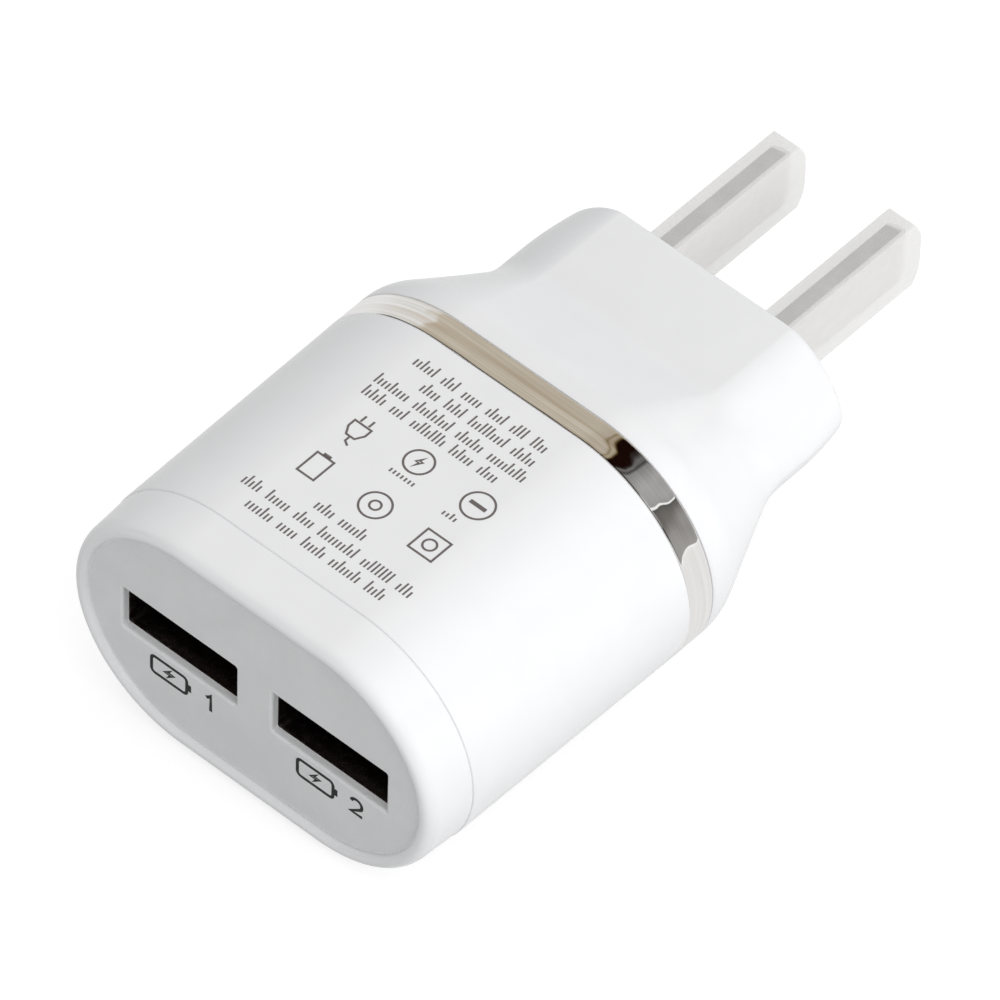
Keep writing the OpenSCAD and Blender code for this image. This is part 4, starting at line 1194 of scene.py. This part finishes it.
def port_label(number):
    """A battery with a bolt beside the port's number."""
    x = LABEL_X[number]
    case_x, terminal_x, digit_x = x - 0.3, x + 1.95, x + 4.2
    case = rounded_rect(3.9, 2.0, 0.4, 4)
    terminal = [(terminal_x, LABEL_Z - 0.4), (terminal_x, LABEL_Z + 0.4)]
    bolt = [(0.25, 0.62), (-0.55, -0.1), (0.12, -0.1), (-0.25, -0.62), (0.55, 0.12), (-0.12, 0.12)]
    if number == 1:
        digit = [(-0.4, 0.5), (-0.1, 0.7), (0.1, 0.95), (0.1, -0.95)]
    else:
        digit = arc((0, 0.35), 0.6, 165, -35, 12) + [(-0.6, -0.83), (0.65, -0.83)]
    parts = [
        stroke(shifted(case, case_x, LABEL_Z), LABEL_LINE, on_plate, closed=True),
        stroke(terminal, 0.36, on_plate),
        stroke(shifted(bolt, case_x, LABEL_Z), 0.2, on_plate, closed=True),
        stroke(shifted(digit, digit_x, LABEL_Z), LABEL_LINE, on_plate),
    ]
    add_piece(f"port_label_{number}", joined(parts), look=LABEL_INK, sharp=60)


# ---- Studio ----


FLOOR_GAP = 0.05
FLOOR_HALF = 6000
# The floor's glow to the camera and in mirrors. It lights nothing.
FLOOR_GLOW_SEEN = 0.72
FLOOR_GLOW_MIRRORED = 0.46

# The ceiling that mirrors see, as degrees from straight up towards +X with a colour at each
CEILING = [
    (-52, (0.83, 0.83, 0.825)),
    (-46, (0.61, 0.55, 0.465)),
    (-24, (0.57, 0.515, 0.43)),
    (-14, (0.51, 0.45, 0.37)),
    (-11, (0.27, 0.21, 0.12)),
    (-8.5, (0.44, 0.38, 0.29)),
    (-5, (0.4, 0.34, 0.25)),
    (-2.5, (0.14, 0.09, 0.035)),
    (0, (0.01, 0.003, 0.002)),
    (11, (0.01, 0.003, 0.002)),
    (13, (0.2, 0.2, 0.2)),
    (16, (0.04, 0.035, 0.03)),
    (18, (0.26, 0.26, 0.26)),
    (36, (0.42, 0.42, 0.42)),
    (46.5, (0.34, 0.34, 0.34)),
    (47.2, (0.98, 0.98, 0.98)),
    (49.2, (0.98, 0.98, 0.98)),
    (49.8, (0.08, 0.08, 0.08)),
    (53, (0.13, 0.125, 0.12)),
    (60, (0.17, 0.16, 0.15)),
    (72, (0.32, 0.31, 0.3)),
    (90, (0.38, 0.37, 0.36)),
    (95, (0.82, 0.82, 0.82)),
]
# Towards -Y the ceiling falls to this share of its brightness, between these values of the direction's Y.
ROOM_DARK = 0.05
ROOM_START = (-0.4, -0.25)
# The soft light: the direction it comes from, its strength there, and the cosine at which it ends
LIGHT_SIDE = (0.765, 0.04, 0.643)
LIGHT_HIGH = 1.29
LIGHT_FADE = -0.83

# The camera: azimuth, elevation and roll in degrees, lens and sensor in millimetres, the rest in metres
CAMERA_ANGLES = (40.683, 49.216, 1.714)
CAMERA_DISTANCE = 1.201
CAMERA_RIGHT = 0.017079
CAMERA_UP = 0.01484
LENS_LEN = 522.8
SENSOR_W = 36


def floor():
    """A pale plane under the object that looks evenly lit, and that is see-through from below."""
    low_z = CAD_BOX[0].z / MM - FLOOR_GAP
    corners = [(-1, -1), (1, -1), (1, 1), (-1, 1)]
    verts = np.array([(FLOOR_HALF * x, FLOOR_HALF * y, low_z) for x, y in corners])
    tree = Tree("floor", Base_Color=(0.4, 0.4, 0.4, 1), Roughness=0.9, Emission_Color=(1, 1, 1, 1))
    tree.shader.inputs["Specular IOR Level"].default_value = 0.0
    ray = tree.add("LightPath")
    mirrored = tree.spread(ray.outputs["Is Glossy Ray"], FLOOR_GLOW_SEEN, FLOOR_GLOW_MIRRORED, 0, 1)
    lit = tree.math("SUBTRACT", 1, ray.outputs["Is Diffuse Ray"])
    tree.link(tree.math("MULTIPLY", mirrored, lit), "Emission Strength")
    tree.link(tree.math("SUBTRACT", 1, tree.add("NewGeometry").outputs["Backfacing"]), "Alpha")
    obj = add_object("floor", new_mesh("floor", (verts, [(0, 1, 2, 3)]), tree.material))


class WorldTree(Tree):
    """The world's node tree, with the same short calls as a material's."""

    def __init__(self):
        self.world = bpy.data.worlds.new("studio")
        SCENE.world = self.world
        self.world.use_nodes = True
        self.nodes = self.world.node_tree.nodes
        self.links = self.world.node_tree.links
        self.nodes.clear()

    def background(self, colour, strength=1.0):
        return self.add("Background", {"Color": colour, "Strength": strength}).outputs[0]

    def choose(self, share, a, b):
        return self.add("MixShader", {0: share, 1: a, 2: b}).outputs[0]


def studio_world():
    """Soft light that is strongest from the upper right. The camera sees plain white. Reflections
    see the ceiling, with its cards and dark gaps, and a dark room behind the camera."""
    tree = WorldTree()
    direction = tree.add("TexCoord").outputs["Generated"]
    towards = tree.dot(direction, LIGHT_SIDE)
    soft = tree.background((1, 1, 1, 1), tree.spread(towards, 0, LIGHT_HIGH, LIGHT_FADE, 1))
    axes = tree.add("SeparateXYZ", {0: direction})
    overhead = tree.math("ARCTAN2", axes.outputs["X"], axes.outputs["Z"])
    cards = tree.add("ValToRGB", {"Fac": tree.spread(overhead, 0, 1, -math.pi, math.pi)})
    stops = cards.color_ramp.elements
    stops.remove(stops[0])
    for k, (degrees, colour) in enumerate(CEILING):
        place = (degrees + 180) / 360
        stop = stops[0] if k == 0 else stops.new(place)
        stop.position = place
        stop.color = (*colour, 1)
    ahead = tree.spread(axes.outputs["Y"], ROOM_DARK, 1, *ROOM_START)
    ceiling = tree.background(cards.outputs["Color"], ahead)
    ray = tree.add("LightPath")
    lit = tree.choose(ray.outputs["Is Glossy Ray"], soft, ceiling)
    seen = tree.choose(ray.outputs["Is Camera Ray"], lit, tree.background((1, 1, 1, 1)))
    tree.links.new(seen, tree.nodes.new("ShaderNodeOutputWorld").inputs["Surface"])


def area_light(name, place, size, power):
    """A round lamp that points at the middle of the object."""
    data = bpy.data.lights.new(name, "AREA")
    data.shape = "DISK"
    data.size = size
    data.energy = power
    obj = add_object(name, data)
    obj.location = place
    obj.rotation_mode = "QUATERNION"
    middle = (CAD_BOX[0] + CAD_BOX[1]) / 2
    obj.rotation_quaternion = (middle - Vector(place)).to_track_quat("-Z", "Y")
    return obj


def lights():
    """A key lamp from the upper right, and two fills. Mirrors don't see the side fill."""
    area_light("key", place=(0.7, -0.35, 0.65), size=0.45, power=0.35)
    side_fill = area_light("side_fill", place=(0.85, 0.15, 0.12), size=0.5, power=2.3)
    side_fill.visible_glossy = False
    area_light("front_fill", place=(-0.35, -1.0, 0.25), size=0.4, power=0.4)


def camera():
    """The photograph's viewing angle: a long lens from above the USB end, slightly rolled."""
    azimuth, elevation, roll = (math.radians(angle) for angle in CAMERA_ANGLES)
    back = Vector((
        math.sin(azimuth) * math.cos(elevation),
        -math.cos(azimuth) * math.cos(elevation),
        math.sin(elevation),
    ))
    level = Vector((math.cos(azimuth), math.sin(azimuth), 0))
    upright = back.cross(level)
    right = level * math.cos(roll) + upright * math.sin(roll)
    up = upright * math.cos(roll) - level * math.sin(roll)
    data = bpy.data.cameras.new("camera")
    data.sensor_width = SENSOR_W
    data.lens = LENS_LEN
    data.clip_start = 0.05
    data.clip_end = 50
    obj = add_object("camera", data)
    obj.rotation_mode = "QUATERNION"
    obj.rotation_quaternion = Matrix((right, up, back)).transposed().to_quaternion()
    obj.location = back * CAMERA_DISTANCE - right * CAMERA_RIGHT - up * CAMERA_UP
    SCENE.camera = obj


def studio():
    SCENE.view_settings.view_transform = "Standard"
    SCENE.view_settings.look = "None"
    camera()
    studio_world()
    lights()
    floor()


# ---- Assembly ----

dress_cad_nodes()
front_collar()
faceplate()
main_shell()
chrome_band()
rear_housing()
blade(-1, "line_blade", "blade_line")
blade(1, "neutral_blade", "blade_neutral")
for port_side, port_number in ((-1, 1), (1, 2)):
    socket_shell(port_side, port_number)
    socket_insulator(port_side, port_number)
sleeve(-1, "line_sleeve", "sleeve_line", "line_cover")
sleeve(1, "neutral_sleeve", "sleeve_neutral", "neutral_cover")
rating_print()
for port_number in LABEL_X:
    port_label(port_number)
studio()
